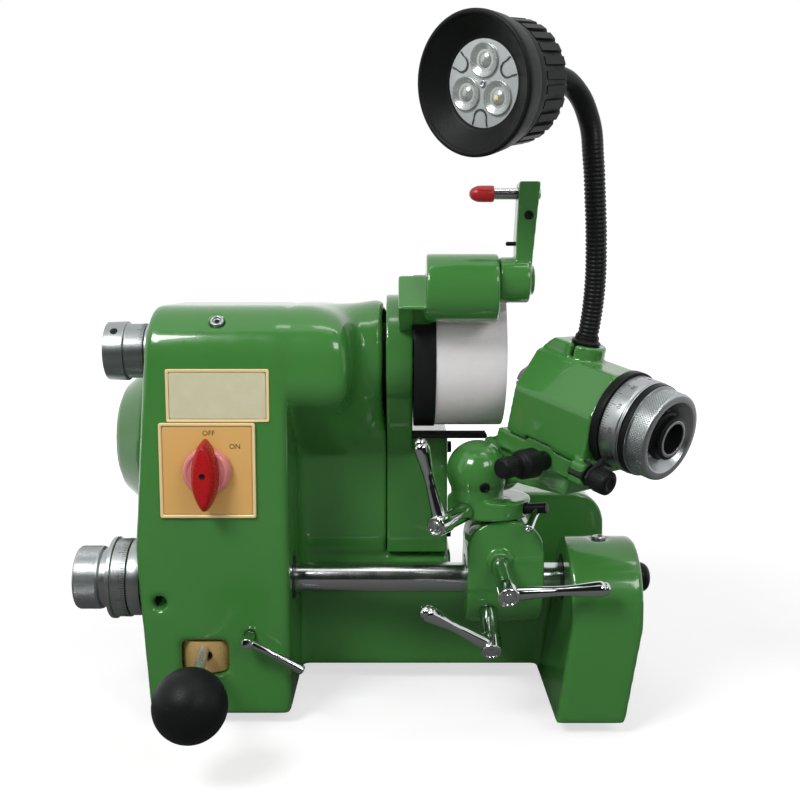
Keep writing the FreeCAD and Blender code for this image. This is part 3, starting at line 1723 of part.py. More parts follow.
def index_spindle():
    bore = dim.drawbar_radius + dim.running_gap
    tube = [
        (dim.index_nose_start, bore),
        (dim.dark_ring_end, bore),
        (dim.dark_ring_end, dim.index_bore_radius),
        (dim.head_rear, dim.index_bore_radius),
        (dim.head_rear, dim.index_nose_radius),
        (dim.index_nose_start, dim.index_nose_radius),
    ]
    node("index_spindle", turned("index_tube", tube), head_frame)

    rings = {
        "index_ring": (dim.head_front + dim.face_gap, dim.index_ring_end, dim.index_ring_radius),
        "scale_ring": (dim.index_ring_end, dim.scale_ring_end, dim.scale_ring_radius),
    }
    for name, (start, end, radius) in rings.items():
        node(name, ring(f"{name}_turned", (start, end), radius, dim.index_bore_radius), head_frame)

    floor = dim.dark_ring_end + dim.handwheel_floor
    wheel = [
        (dim.scale_ring_end, dim.index_bore_radius),
        (dim.dark_ring_end, dim.index_bore_radius),
        (dim.dark_ring_end, bore),
        (floor, bore),
        (floor, dim.handwheel_throat),
        (dim.handwheel_end, dim.handwheel_mouth),
        (dim.handwheel_end, dim.handwheel_radius),
        (dim.dark_ring_end, dim.handwheel_radius),
        (dim.dark_ring_end, dim.dark_ring_radius),
        (dim.scale_ring_end, dim.dark_ring_radius),
    ]
    node("handwheel", turned("handwheel_turned", wheel), head_frame)

    nut_start = floor + dim.face_gap
    drawbar = [
        (dim.drawbar_start, dim.drawbar_bore),
        (dim.drawbar_nut_end, dim.drawbar_bore),
        (dim.drawbar_nut_end, dim.drawbar_nut_radius),
        (nut_start, dim.drawbar_nut_radius),
        (nut_start, dim.drawbar_radius),
        (dim.drawbar_start, dim.drawbar_radius),
    ]
    node("drawbar", turned("drawbar_turned", drawbar), head_frame)

    span = (dim.collet_start, dim.collet_end)
    sleeve = ring("collet_sleeve", span, dim.collet_radius, dim.collet_bore)
    reach = dim.collet_radius
    half = dim.collet_slit / 2
    depth = (dim.collet_start, dim.collet_start + dim.collet_slit_length)
    slits = [
        box("collet_slit_flat", depth, (-reach, reach), (-half, half)),
        box("collet_slit_upright", depth, (-half, half), (-reach, reach)),
    ]
    node("collet", cut("collet_cut", sleeve, *slits), head_frame)


# Lamp on its gooseneck


def neck_path():
    """The middle line of the gooseneck, from the stem's collar to the back of the lamp."""
    foot = head_frame.multVec(
        Vector(float(dim.lamp_boss_x), 0, float(dim.lamp_boss_top + dim.face_gap + dim.lamp_collar_height))
    )
    up = head_frame.Rotation.multVec(Vector(0, 0, 1))
    back = lamp_frame.multVec(Vector(0, 0, 0))
    inward = lamp_frame.Rotation.multVec(Vector(1, 0, 0))
    straight = float(dim.neck_crest_radius) * 2
    bends = [head_at + Vector(x, y, z) for x, y, z in NECK_BENDS]
    spots = [foot, foot + up * straight, *bends, back - inward * straight, back]
    curve = Part.BSplineCurve()
    curve.interpolate(Points=spots[1:-1], InitialTangent=up * 20, FinalTangent=inward * 20)
    first = Part.LineSegment(spots[0], spots[1]).toShape()
    last = Part.LineSegment(spots[-2], spots[-1]).toShape()
    return Part.Wire([first, curve.toShape(), last])


def rings_along(path, stations):
    """Circles square to a path, each keeping its seam on the same side."""
    edges = path.OrderedEdges
    lengths = [edge.Length for edge in edges]
    wires = []
    for distance, radius in stations:
        left = min(max(distance, 0), sum(lengths))
        index = 0
        while index < len(edges) - 1 and left > lengths[index]:
            left -= lengths[index]
            index += 1
        edge = edges[index]
        spot = edge.getParameterByLength(min(left, lengths[index]))
        tangent = edge.tangentAt(spot).normalize()
        side = Vector(0, 1, 0)
        side = (side - tangent * side.dot(tangent)).normalize()
        circle = Part.Circle(edge.valueAt(spot), tangent, radius)
        circle.XAxis = side
        wires.append(Part.Wire(circle.toShape()))
    return wires


def gooseneck():
    path = neck_path()
    length = path.Length
    count = round(length / float(dim.neck_rib_pitch))
    pitch = length / count
    crest = float(dim.neck_crest_radius)
    root = float(dim.neck_root_radius)
    stations = []
    for index in range(count):
        start = index * pitch
        stations += [
            (start, root),
            (start + pitch * 0.25, crest),
            (start + pitch * 0.65, crest),
            (start + pitch * 0.9, root),
        ]
    stations.append((length, root))
    bore = [(length * index / count, float(dim.neck_bore_radius)) for index in range(count + 1)]
    outer = Part.makeLoft(rings_along(path, stations), True, True)
    inner = Part.makeLoft(rings_along(path, bore), True, True)
    obj = doc.addObject("Part::Feature", "gooseneck")
    obj.Shape = outer.cut(inner)
    node("gooseneck", obj)


def lamp():
    at = (dim.lamp_boss_x, 0)
    top = dim.lamp_boss_top
    sunk = (top - dim.lamp_stem_depth, top + dim.face_gap)
    stem = rod("lamp_stem_round", "z", sunk, dim.lamp_stem_radius, at)
    collar = rod(
        "lamp_collar",
        "z",
        (top + dim.face_gap, top + dim.face_gap + dim.lamp_collar_height),
        dim.lamp_collar_radius,
        at,
    )
    node("lamp_stem", fuse("lamp_stem_whole", stem, collar), head_frame)

    wall = dim.lamp_wall
    inside = dim.lamp_barrel_radius - wall
    shell = [
        (0, dim.neck_bore_radius),
        (wall, dim.neck_bore_radius),
        (wall, dim.lamp_back_radius - wall / 2),
        (dim.lamp_shoulder + wall / 2, dim.lamp_shoulder_radius - wall),
        (dim.lamp_bezel_start, inside),
        (dim.lamp_bezel_start, dim.lamp_barrel_radius),
        (dim.lamp_shoulder, dim.lamp_shoulder_radius),
        (0, dim.lamp_back_radius),
    ]
    node("lamp_shell", turned("lamp_shell_turned", shell), lamp_frame)

    bevel = dim.lamp_wall / 2
    floor = dim.lamp_length - dim.lamp_reflector_depth
    bezel = [
        (dim.lamp_bezel_start, dim.lamp_board_radius),
        (floor, dim.lamp_board_radius),
        (dim.lamp_length, dim.lamp_mouth_radius),
        (dim.lamp_length, dim.lamp_bezel_radius - bevel),
        (dim.lamp_length - bevel, dim.lamp_bezel_radius),
        (dim.lamp_bezel_start, dim.lamp_bezel_radius),
    ]
    node("lamp_bezel", turned("lamp_bezel_turned", bezel), lamp_frame)

    board = rod("led_board", "x", (dim.lamp_bezel_start, floor), dim.lamp_board_radius)
    lenses = []
    for index in range(3):
        angle = math.radians(90 + 120 * index)
        spot = (dim.lamp_lens_circle * math.cos(angle), dim.lamp_lens_circle * math.sin(angle))
        lens_span = (floor, floor + dim.lamp_lens_height)
        lenses.append(rod(f"led_lens_{index}", "x", lens_span, dim.lamp_lens_radius, spot))
    node("led_module", fuse("led_whole", board, *lenses), lamp_frame)


# Wheel dresser


def dresser():
    span = (dim.dresser_left, dim.dresser_right)
    boss = rod("dresser_boss", "x", span, dim.dresser_radius, dresser_at)
    web = pad(
        "dresser_web",
        "YZ",
        [
            (dim.dresser_y - dim.dresser_web_front, dim.dresser_height - dim.dresser_web_drop),
            (dim.dresser_web_back - dim.dresser_web_depth, dim.dresser_web_low),
            (dim.dresser_web_back, dim.dresser_web_low + dim.dresser_web_height),
            (dim.dresser_y, dim.dresser_height + dim.dresser_web_rise),
        ],
        (dim.dresser_web_left, dim.dresser_web_right),
    )
    sweep = rod(
        "hub_sweep",
        "x",
        (dim.cover_right, dim.dresser_right),
        dim.wheel_hub_radius + dim.hub_sweep_gap,
        spindle_at,
    )
    seat = rod("dresser_seat", "x", (dim.ring_left, dim.cover_right), dim.ring_radius, spindle_at)
    bore = rod(
        "dresser_bore",
        "x",
        (dim.dresser_pin_left - 1, dim.dresser_right),
        dim.dresser_pin_radius + dim.running_gap,
        dresser_pivot_at,
    )
    whole = fuse("dresser_whole", boss, web)
    node("dresser_bracket", cut("dresser_bracket", whole, seat, sweep, bore))

    hub = rod(
        "dresser_hub",
        "x",
        (dim.dresser_right + dim.face_gap, dim.dresser_hub_right),
        dim.dresser_hub_radius,
        dresser_pivot_at,
    )
    half = dim.dresser_arm_half
    front_view = [
        (dim.dresser_arm_left, dim.dresser_pivot_height),
        (dim.dresser_hub_right, dim.dresser_pivot_height),
        (dim.dresser_arm_right, dim.dresser_arm_top),
        (dim.dresser_arm_head_left, dim.dresser_arm_top),
        (dim.dresser_arm_left, (dim.dresser_pivot_height + dim.diamond_height) / 2),
    ]
    beam = pad("dresser_beam", "XZ", front_view, (dim.dresser_y - half, dim.dresser_y + half))
    diamond_at = (dim.dresser_y, dim.diamond_height)
    diamond_hole = rod(
        "diamond_hole",
        "x",
        (dim.dresser_arm_left, dim.dresser_arm_right),
        dim.diamond_radius + dim.running_gap,
        diamond_at,
    )
    head_left = dim.dresser_hub_right
    head_right = head_left + dim.dresser_pin_head_height
    pin_span = (dim.dresser_pin_left, head_left)
    pin = rod("dresser_pin", "x", pin_span, dim.dresser_pin_radius, dresser_pivot_at)
    head = rod("dresser_pin_cap", "x", (head_left, head_right), dim.dresser_pin_head, dresser_pivot_at)
    whole = fuse("dresser_arm_whole", hub, beam, pin, head)
    node("dresser_arm", cut("dresser_arm", whole, diamond_hole))

    reach = (dim.diamond_left, dim.diamond_right)
    holder = rod("diamond_holder", "x", reach, dim.diamond_radius, diamond_at)
    node("diamond_holder", holder)
    cap = [
        (dim.diamond_cap_left, 0),
        (dim.diamond_left, 0),
        (dim.diamond_left, dim.diamond_radius),
        (dim.diamond_cap_right, dim.diamond_radius),
        (dim.diamond_cap_right, dim.diamond_cap_radius),
        (dim.diamond_cap_left, dim.diamond_cap_radius),
    ]
    node("diamond_cap", turned("diamond_cap", cap, diamond_at))


# Switch, plates and oil caps


def switch():
    half = dim.switch_plate_size / 2
    face = dim.column_front - dim.switch_plate_thickness
    at = (dim.switch_x, dim.switch_height)
    stem_hole = dim.switch_stem_radius + dim.face_gap
    inner_wall = dim.column_front + dim.column_wall
    plate = box(
        "switch_sheet",
        (dim.switch_x - half, dim.switch_x + half),
        (face, dim.column_front),
        (dim.switch_height - half, dim.switch_height + half),
    )
    plate_hole = rod("switch_sheet_hole", "y", (face, dim.column_front), stem_hole, at)
    node("switch_plate", cut("switch_plate", plate, plate_hole))

    side = dim.switch_box_size / 2
    block = box(
        "switch_block",
        (dim.switch_x - side, dim.switch_x + side),
        (inner_wall, inner_wall + dim.switch_box_depth),
        (dim.switch_height - side, dim.switch_height + side),
    )
    stem_end = inner_wall + dim.column_wall
    block_hole = rod("switch_block_hole", "y", (inner_wall, stem_end + 1), stem_hole, at)
    node("switch_body", cut("switch_body", block, block_hole))

    disc_face = face - dim.face_gap
    grip_back = disc_face - dim.switch_disc_height
    wide = dim.switch_grip_width / 2
    narrow = dim.switch_grip_tip / 2
    tall = dim.switch_grip_length / 2
    grip_view = [
        (dim.switch_x - narrow, dim.switch_height - tall),
        (dim.switch_x + narrow, dim.switch_height - tall),
        (dim.switch_x + wide, dim.switch_height),
        (dim.switch_x + narrow, dim.switch_height + tall),
        (dim.switch_x - narrow, dim.switch_height + tall),
        (dim.switch_x - wide, dim.switch_height),
    ]
    parts = [
        rod("switch_stem", "y", (disc_face, stem_end), dim.switch_stem_radius, at),
        rod("switch_disc", "y", (grip_back, disc_face), dim.switch_disc_radius, at),
        pad("switch_grip", "XZ", grip_view, (grip_back - dim.switch_grip_height, grip_back)),
    ]
    node("switch_handle", fuse("switch_handle", *parts))


def plates():
    sheet_plate = box(
        "nameplate",
        (dim.plate_x - dim.plate_width / 2, dim.plate_x + dim.plate_width / 2),
        (dim.column_front - dim.plate_thickness, dim.column_front),
        (dim.plate_height - dim.plate_tall / 2, dim.plate_height + dim.plate_tall / 2),
    )
    node("nameplate", sheet_plate)


def crown_oiler_frame():
    """A frame on the middle of the column's rounded crown, pointing up and forward."""
    radius = float(dim.crown_radius)
    step = radius * (1 - math.sqrt(0.5))
    spot = (float(dim.oiler_x), float(dim.column_front) + step, float(dim.column_top) - step)
    return frame_of(spot, (0, -1, 1), (1, 0, 0))


def oil_caps():
    crown = rod("crown_oiler", "z", (-dim.oiler_sink, dim.oiler_height), dim.oiler_radius)
    pedestal_cap = rod(
        "pedestal_oiler",
        "z",
        (pedestal_top - dim.oiler_sink, pedestal_top + dim.oiler_height),
        dim.oiler_radius,
        ((dim.pedestal_left + dim.pedestal_right) / 2, dim.pedestal_y),
    )
    crown = moved("crown_oiler_placed", crown, crown_oiler_frame())
    node("oil_caps", group("oil_caps", crown, pedestal_cap))


lamp_face = Placement(
    head_at + Vector(float(dim.lamp_reach_x), float(dim.lamp_reach_y), float(dim.lamp_rise)),
    Rotation(Vector(0, 0, 1), float(dim.lamp_yaw)) * Rotation(Vector(0, 1, 0), float(dim.lamp_pitch)),
)
lamp_frame = lamp_face * Placement(Vector(-float(dim.lamp_length), 0, 0), Rotation())

base_casting()
foot_pads()
wheelhead()
belt_cover()
motor()
drive_belt()
cable_gland()
quill()
spindle()
wheel_feed()
guide_bar()
guide_stop()
ball_lever()
clamping_levers()
bar_bracket()
swivel_block()
tilt_arm()
head_body()
index_spindle()
gooseneck()
lamp()
dresser()
switch()
plates()
oil_caps()

doc.recompute()
for obj in doc.Objects:
    if "Invalid" in obj.State or "Error" in obj.State:
        raise RuntimeError(f"{obj.Label} did not build")
os.makedirs("parts", exist_ok=True)
for obj in nodes:
    if obj.Shape.isNull() or not obj.Shape.isValid():
        raise RuntimeError(f"{obj.Label} has no valid shape")
    obj.Shape.exportStep(f"parts/{obj.Label}.step")
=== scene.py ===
# %% [markdown]
# # A bench cutter grinder
# The real machine is a green cast-iron grinder with a white wheel, a work head that swings on a bar and a
# lamp on a hose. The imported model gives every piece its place, so each lesson below only decides how a piece
# looks: some are cut on a lathe in code, some are cast again from the model, some repeat a shape in a ring.

# %% Load the frame
import json
import math
from functools import partial

import bmesh
import bpy
import numpy as np
from mathutils import Matrix, Vector


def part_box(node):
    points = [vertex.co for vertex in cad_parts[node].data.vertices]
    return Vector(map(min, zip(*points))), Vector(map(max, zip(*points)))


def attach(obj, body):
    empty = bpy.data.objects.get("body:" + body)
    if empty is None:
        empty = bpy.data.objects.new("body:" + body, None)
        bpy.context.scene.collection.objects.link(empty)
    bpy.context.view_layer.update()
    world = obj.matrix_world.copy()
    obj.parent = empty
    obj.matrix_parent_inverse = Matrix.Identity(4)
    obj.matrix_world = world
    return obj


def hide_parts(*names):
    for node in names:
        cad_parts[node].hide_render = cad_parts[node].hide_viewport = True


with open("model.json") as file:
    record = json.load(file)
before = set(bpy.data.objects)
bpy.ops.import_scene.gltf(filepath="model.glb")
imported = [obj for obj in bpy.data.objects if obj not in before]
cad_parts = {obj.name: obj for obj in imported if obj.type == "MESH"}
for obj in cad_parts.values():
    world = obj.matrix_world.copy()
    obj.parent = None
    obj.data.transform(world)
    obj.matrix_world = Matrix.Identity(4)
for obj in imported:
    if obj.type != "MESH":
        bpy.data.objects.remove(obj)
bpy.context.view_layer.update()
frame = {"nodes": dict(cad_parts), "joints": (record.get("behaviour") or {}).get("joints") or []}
joint_of = {joint["child"]: joint for joint in frame["joints"]}
MM = 0.001
RIGHT, LEFT, FRONT, UP = (1, 0, 0), (-1, 0, 0), (0, -1, 0), (0, 0, 1)
# Points on the machine's main axes, in millimetres
SPINDLE, BAR, MOTOR, DIAMOND = (0, -25, 238), (0, -55, 89), (0, 75, 164), (0, -87, 338)

# %% [markdown]
# The picture was taken from just above the wheel, looking slightly down. A camera is a lens length, a place
# and a turn; its tilt of seven degrees is what keeps the uprights parallel to the frame's edge.

# %% Camera
sensor, lens_length = 36, 46.35
eye, tilt = (0, -0.723, 0.290), 7
camera = bpy.data.objects.new("camera", bpy.data.cameras.new("camera"))
bpy.context.scene.collection.objects.link(camera)
camera.data.sensor_width = sensor
camera.data.lens = lens_length
camera.data.clip_start = 0.01
camera.location = eye
camera.rotation_euler = (math.radians(90 - tilt), 0, 0)
bpy.context.scene.camera = camera
bpy.context.scene.view_settings.view_transform = "Standard"
print("camera at", eye, "tilted", tilt, "degrees")

# %% [markdown]
# Every look and every repeated shape below is a graph of nodes. Two helpers keep the graphs short: one adds a
# node and sets its inputs, to plain values or to the outputs of other nodes, and one does sums.

# %% Node helpers
def feed(tree, node, values):
    """Set a node's inputs, to plain values or to other nodes' outputs."""
    for socket, value in values.items():
        if isinstance(value, bpy.types.NodeSocket):
            tree.links.new(value, node.inputs[socket])
        else:
            node.inputs[socket].default_value = value
    return node


def add_node(tree, kind, values=None, **settings):
    made = tree.nodes.new(kind)
    for key, value in settings.items():
        setattr(made, key, value)
    return feed(tree, made, values or {})


def sum_node(tree, operation, first, second=None):
    values = {0: first} if second is None else {0: first, 1: second}
    return add_node(tree, "ShaderNodeMath", values, operation=operation).outputs[0]


def new_look(name):
    look = bpy.data.materials.new(name)
    look.use_nodes = True
    return look, look.node_tree, look.node_tree.nodes["Principled BSDF"]


print("helpers ready")

# %% [markdown]
# A studio for a machine is a pale floor, a white surround and a few soft boxes. The surround is white to the
# lens and to reflections but weaker as a light, so the paint keeps its own colour. Chrome needs something
# dark to show beside the white, so dark strips stand behind the lens and lie before the machine, where only
# reflections find them.

# %% Floor, surround and soft boxes
def stage_sheet(name, corners):
    mesh = bpy.data.meshes.new(name)
    mesh.from_pydata(corners, [], [(0, 1, 2, 3)])
    sheet = bpy.data.objects.new(name, mesh)
    bpy.context.scene.collection.objects.link(sheet)
    return sheet


def seen_or_mirrored(tree):
    """One for a ray from the lens or off a shiny surface, and the other kinds of ray."""
    ray = add_node(tree, "ShaderNodeLightPath").outputs
    return sum_node(tree, "MAXIMUM", ray["Is Camera Ray"], ray["Is Glossy Ray"]), ray


floor = stage_sheet("floor", [(-8, -8, 0), (8, -8, 0), (8, 8, 0), (-8, 8, 0)])
floor_look, tree, paint = new_look("pale_floor")
feed(tree, paint, {"Base Color": (0.44, 0.44, 0.44, 1), "Roughness": 0.9, "Specular IOR Level": 0.1})
spot = add_node(tree, "ShaderNodeTexCoord")
reach = add_node(tree, "ShaderNodeVectorMath", {0: spot.outputs["Object"]}, operation="LENGTH")
paling = add_node(tree, "ShaderNodeMapRange", {
    "Value": reach.outputs["Value"], "From Min": 0.3, "From Max": 1.1, "To Min": 0.65, "To Max": 1.0,
}, interpolation_type="SMOOTHSTEP")
lift = add_node(tree, "ShaderNodeEmission", {"Strength": paling.outputs[0]})
both = add_node(tree, "ShaderNodeAddShader", {0: paint.outputs[0], 1: lift.outputs[0]})
seen, _ = seen_or_mirrored(tree)
pick = add_node(tree, "ShaderNodeMixShader", {0: seen, 1: paint.outputs[0], 2: both.outputs[0]})
feed(tree, tree.nodes["Material Output"], {"Surface": pick.outputs[0]})
floor.data.materials.append(floor_look)

world = bpy.data.worlds.new("surround")
bpy.context.scene.world = world
world.use_nodes = True
tree = world.node_tree
weak = feed(tree, tree.nodes["Background"], {"Color": (1, 1, 1, 1), "Strength": 0.30})
white = add_node(tree, "ShaderNodeBackground", {"Color": (1, 1, 1, 1), "Strength": 1.0})
seen, ray = seen_or_mirrored(tree)
clear = sum_node(tree, "MAXIMUM", seen, ray["Is Transmission Ray"])
pick = add_node(tree, "ShaderNodeMixShader", {0: clear, 1: weak.outputs[0], 2: white.outputs[0]})
feed(tree, tree.nodes["World Output"], {"Surface": pick.outputs[0]})


def soft_box(name, place, aim, size, watts, mirrored=True):
    light = bpy.data.lights.new(name, "AREA")
    light.shape = "RECTANGLE"
    light.size, light.size_y = size
    light.energy = watts
    box = bpy.data.objects.new(name, light)
    bpy.context.scene.collection.objects.link(box)
    box.location = place
    box.visible_camera = False
    box.visible_glossy = mirrored
    box.rotation_euler = (Vector(aim) - Vector(place)).to_track_quat("-Z", "Y").to_euler()
    return light


soft_box("key_box", (-0.55, -0.80, 0.95), (-0.02, -0.05, 0.2), (0.40, 0.30), 9.5)
soft_box("fill_box", (0.60, -0.95, 0.80), (0.05, -0.05, 0.25), (0.40, 0.30), 3.5)
front = soft_box("front_box", (0.12, -0.95, 0.42), (0.06, -0.05, 0.25), (0.25, 0.2), 0.055, False)
front.spread = math.radians(40)
soft_box("ceiling_tube", (0.265, -0.30, 1.15), (0.2, -0.05, 0.2), (0.77, 0.12), 1.45)
soft_box("back_box", (-0.2, 1.2, 1.0), (0, 0.05, 0.2), (0.8, 0.5), 5, False)
dark_strips = {
    "dark_wall": (0.03, [(-3, -1.5, 0.0), (3, -1.5, 0.0), (3, -1.5, 2.6), (-3, -1.5, 2.6)]),
    "grey_apron": (0.15, [(-3, -1.5, 0.002), (3, -1.5, 0.002), (3, 0.10, 0.002), (-3, 0.10, 0.002)]),
}
for name, (shade, corners) in dark_strips.items():
    strip = stage_sheet(name, corners)
    strip_look, tree, paint = new_look(name)
    feed(tree, paint, {"Base Color": (shade, shade, shade, 1), "Specular IOR Level": 0})
    strip.data.materials.append(strip_look)
    strip.visible_camera = False
    strip.visible_diffuse = False
    strip.visible_shadow = False
    strip.visible_transmission = False
print("studio", len(dark_strips), "dark strips,", len(bpy.data.lights), "soft boxes")

# %% [markdown]
# Paint, plating and grit all vary a little over a surface. Two shader groups give that once for every finish:
# one drifts between two tints and lightens the edges, as wear where hands rub and, on the enamel, as a painted
# highlight along the edges; the other turns fine noise into a roughness and a height. A third follows the
# lathe: it reads how far along and around a piece a point is.

# %% Shader groups
FLOAT, COLOR = "NodeSocketFloat", "NodeSocketColor"


def shader_group(name, inputs, outputs):
    tree = bpy.data.node_groups.new(name, "ShaderNodeTree")
    for label, kind, default in inputs:
        socket = tree.interface.new_socket(label, in_out="INPUT", socket_type=kind)
        socket.default_value = default
    for label, kind in outputs:
        tree.interface.new_socket(label, in_out="OUTPUT", socket_type=kind)
    return tree, tree.nodes.new("NodeGroupInput").outputs, tree.nodes.new("NodeGroupOutput")


def end_texture(tree, noise, port, given):
    """Turn noise into a roughness between two limits, and into a height."""
    spread = add_node(tree, "ShaderNodeMapRange", {
        "Value": noise, "From Min": 0.3, "From Max": 0.7, "To Min": port["Low"], "To Max": port["High"]})
    feed(tree, given, {"Roughness": spread.outputs[0], "Height": noise})


tint_group, port, given = shader_group(
    "tint_edge_wear_and_sheen",
    [("Scale", FLOAT, 20), ("Tint", COLOR, (1, 1, 1, 1)), ("Other", COLOR, (1, 1, 1, 1)),
     ("Edge Wear And Sheen Tint", COLOR, (1, 1, 1, 1)), ("Edge Wear And Sheen", FLOAT, 0.2)],
    [("Color", COLOR)],
)
place = add_node(tint_group, "ShaderNodeTexCoord")
drift = add_node(tint_group, "ShaderNodeTexNoise", {
    "Vector": place.outputs["Object"], "Scale": port["Scale"], "Detail": 4})
blend = add_node(tint_group, "ShaderNodeMix", {
    0: drift.outputs["Fac"], 6: port["Tint"], 7: port["Other"]}, data_type="RGBA")
# Convex edges, found by pointiness, are lightened towards the edge tint: wear on most finishes, a painted
# highlight on the enamel.
form = add_node(tint_group, "ShaderNodeNewGeometry")
edge = add_node(tint_group, "ShaderNodeMapRange", {
    "Value": form.outputs["Pointiness"], "From Min": 0.525, "From Max": 0.60})
amount = sum_node(tint_group, "MULTIPLY", edge.outputs[0], port["Edge Wear And Sheen"])
edge_wear_and_sheen = add_node(tint_group, "ShaderNodeMix", {0: amount, 6: blend.outputs[2], 7: port["Edge Wear And Sheen Tint"]},
               data_type="RGBA")
feed(tint_group, given, {"Color": edge_wear_and_sheen.outputs[2]})

texture_ports = [("Roughness", FLOAT), ("Height", FLOAT)]
grain_group, port, given = shader_group(
    "fine_grain", [("Scale", FLOAT, 300), ("Low", FLOAT, 0.2), ("High", FLOAT, 0.4)], texture_ports)
place = add_node(grain_group, "ShaderNodeTexCoord")
fine = add_node(grain_group, "ShaderNodeTexNoise", {
    "Vector": place.outputs["Object"], "Scale": port["Scale"], "Detail": 3})
end_texture(grain_group, fine.outputs["Fac"], port, given)

lathe_group, port, given = shader_group(
    "lathe_lines", [("Lines", FLOAT, 900), ("Low", FLOAT, 0.2), ("High", FLOAT, 0.4)], texture_ports)
where = add_node(lathe_group, "ShaderNodeUVMap", uv_map="turn")
apart = add_node(lathe_group, "ShaderNodeSeparateXYZ", {0: where.outputs[0]}).outputs
stretched = add_node(lathe_group, "ShaderNodeCombineXYZ", {
    0: apart[0], 1: sum_node(lathe_group, "MULTIPLY", apart[1], port["Lines"])})
fine = add_node(lathe_group, "ShaderNodeTexNoise", {"Vector": stretched.outputs[0], "Scale": 1, "Detail": 2})
end_texture(lathe_group, fine.outputs["Fac"], port, given)
print("groups", [group.name for group in (tint_group, grain_group, lathe_group)])

# %% [markdown]
# A finish is a short recipe: two tints, how rough it is, how metallic, and which group gives it its texture.
# Keeping the recipe in one helper means every paint and metal is written the same way and can be compared.

# %% Finishes
def finish(name, tint, other, rough, metallic=0.0, scale=22, grain=320, bump=0.02, edge_wear_and_sheen=0.0, edge_wear_and_sheen_tint=None,
           coat=0.0, lathe=0.0, specular=0.5):
    look, tree, shader = new_look(name)
    colour = add_node(tree, "ShaderNodeGroup", node_tree=tint_group, values={
        "Scale": scale, "Tint": (*tint, 1), "Other": (*other, 1), "Edge Wear And Sheen Tint": (*(edge_wear_and_sheen_tint or other), 1),
        "Edge Wear And Sheen": edge_wear_and_sheen})
    texture = add_node(tree, "ShaderNodeGroup", node_tree=lathe_group if lathe else grain_group, values={
        "Lines" if lathe else "Scale": lathe or grain, "Low": rough[0], "High": rough[1]})
    relief = add_node(tree, "ShaderNodeBump", {
        "Strength": bump, "Distance": 0.001, "Height": texture.outputs["Height"]})
    feed(tree, shader, {
        "Base Color": colour.outputs["Color"], "Roughness": texture.outputs["Roughness"],
        "Normal": relief.outputs["Normal"], "Metallic": metallic, "Coat Weight": coat, "Coat Roughness": 0.05,
        "Specular IOR Level": specular})
    return look


# The enamel's lighter green edge tint is a painted highlight along its edges.
enamel = finish("green_enamel", (0.050, 0.196, 0.040), (0.041, 0.168, 0.033), (0.16, 0.26), scale=16,
                grain=140, bump=0.05, edge_wear_and_sheen=0.3, edge_wear_and_sheen_tint=(0.15, 0.36, 0.12), coat=0.6, specular=0.3)
chrome = finish("polished_chrome", (0.70, 0.72, 0.72), (0.60, 0.62, 0.62), (0.05, 0.12), 1.0, 30, 500, 0.01)
bar_chrome = finish("bar_chrome", (0.66, 0.68, 0.68), (0.56, 0.58, 0.58), (0.12, 0.24), 1.0, 30, bump=0.04,
                    lathe=2200)
ground_steel = finish("ground_steel", (0.62, 0.62, 0.63), (0.52, 0.52, 0.54), (0.16, 0.30), 1.0, 40,
                      bump=0.05, lathe=2600)
satin = finish("satin_aluminium", (0.46, 0.485, 0.49), (0.38, 0.40, 0.405), (0.26, 0.42), 1.0, 60, bump=0.08,
               lathe=3000)
dark_satin = finish("dark_satin_metal", (0.38, 0.41, 0.41), (0.31, 0.335, 0.335), (0.28, 0.42), 1.0, 60,
                    bump=0.08, lathe=3000)
black_plastic = finish("black_plastic", (0.005, 0.006, 0.006), (0.008, 0.009, 0.009), (0.36, 0.52), scale=40,
                       grain=1500, bump=0.12, edge_wear_and_sheen=0.25, edge_wear_and_sheen_tint=(0.03, 0.031, 0.032), specular=0.15)
hose_black = finish("hose_black", (0.005, 0.007, 0.007), (0.009, 0.011, 0.011), (0.30, 0.45), scale=60,
                    grain=900, bump=0.05, edge_wear_and_sheen=0.25, edge_wear_and_sheen_tint=(0.03, 0.032, 0.033), specular=0.18)
blackened = finish("blackened_steel", (0.006, 0.007, 0.007), (0.010, 0.011, 0.011), (0.28, 0.45), 0.1, 80,
                   900, 0.06, 0.3, (0.06, 0.06, 0.065), specular=0.12)
red_plastic = finish("red_plastic", (0.40, 0.007, 0.009), (0.33, 0.006, 0.007), (0.22, 0.32), scale=50,
                     grain=800, bump=0.008, edge_wear_and_sheen=0.1, edge_wear_and_sheen_tint=(0.50, 0.04, 0.04), specular=0.25)
red_rubber = finish("red_dip", (0.42, 0.008, 0.014), (0.36, 0.006, 0.011), (0.30, 0.40), scale=90, grain=700,
                    bump=0.06)
gold = finish("gold_plate", (0.72, 0.40, 0.115), (0.80, 0.50, 0.17), (0.30, 0.42), 0.25, 26, 1200, 0.02)
gold_edge = finish("gold_frame", (0.80, 0.60, 0.29), (0.84, 0.66, 0.35), (0.40, 0.50), 0.2, 60, 300, 0.0)
pale_foil = finish("pale_foil", (0.55, 0.52, 0.30), (0.63, 0.62, 0.47), (0.30, 0.46), 0.15, 110, 900, 0.05)
brass = finish("brass", (0.68, 0.46, 0.18), (0.58, 0.38, 0.14), (0.26, 0.40), 0.45, 60, 700, 0.02)
# Deep matt black: the finish of the lip under the wheel, and painted shade for the grille's openings.
deep_black_and_painted_shade = finish("deep_black_and_painted_shade", (0.005, 0.005, 0.005), (0.009, 0.009, 0.009), (0.7, 0.9), scale=60,
                    grain=900, bump=0.1, specular=0.04)
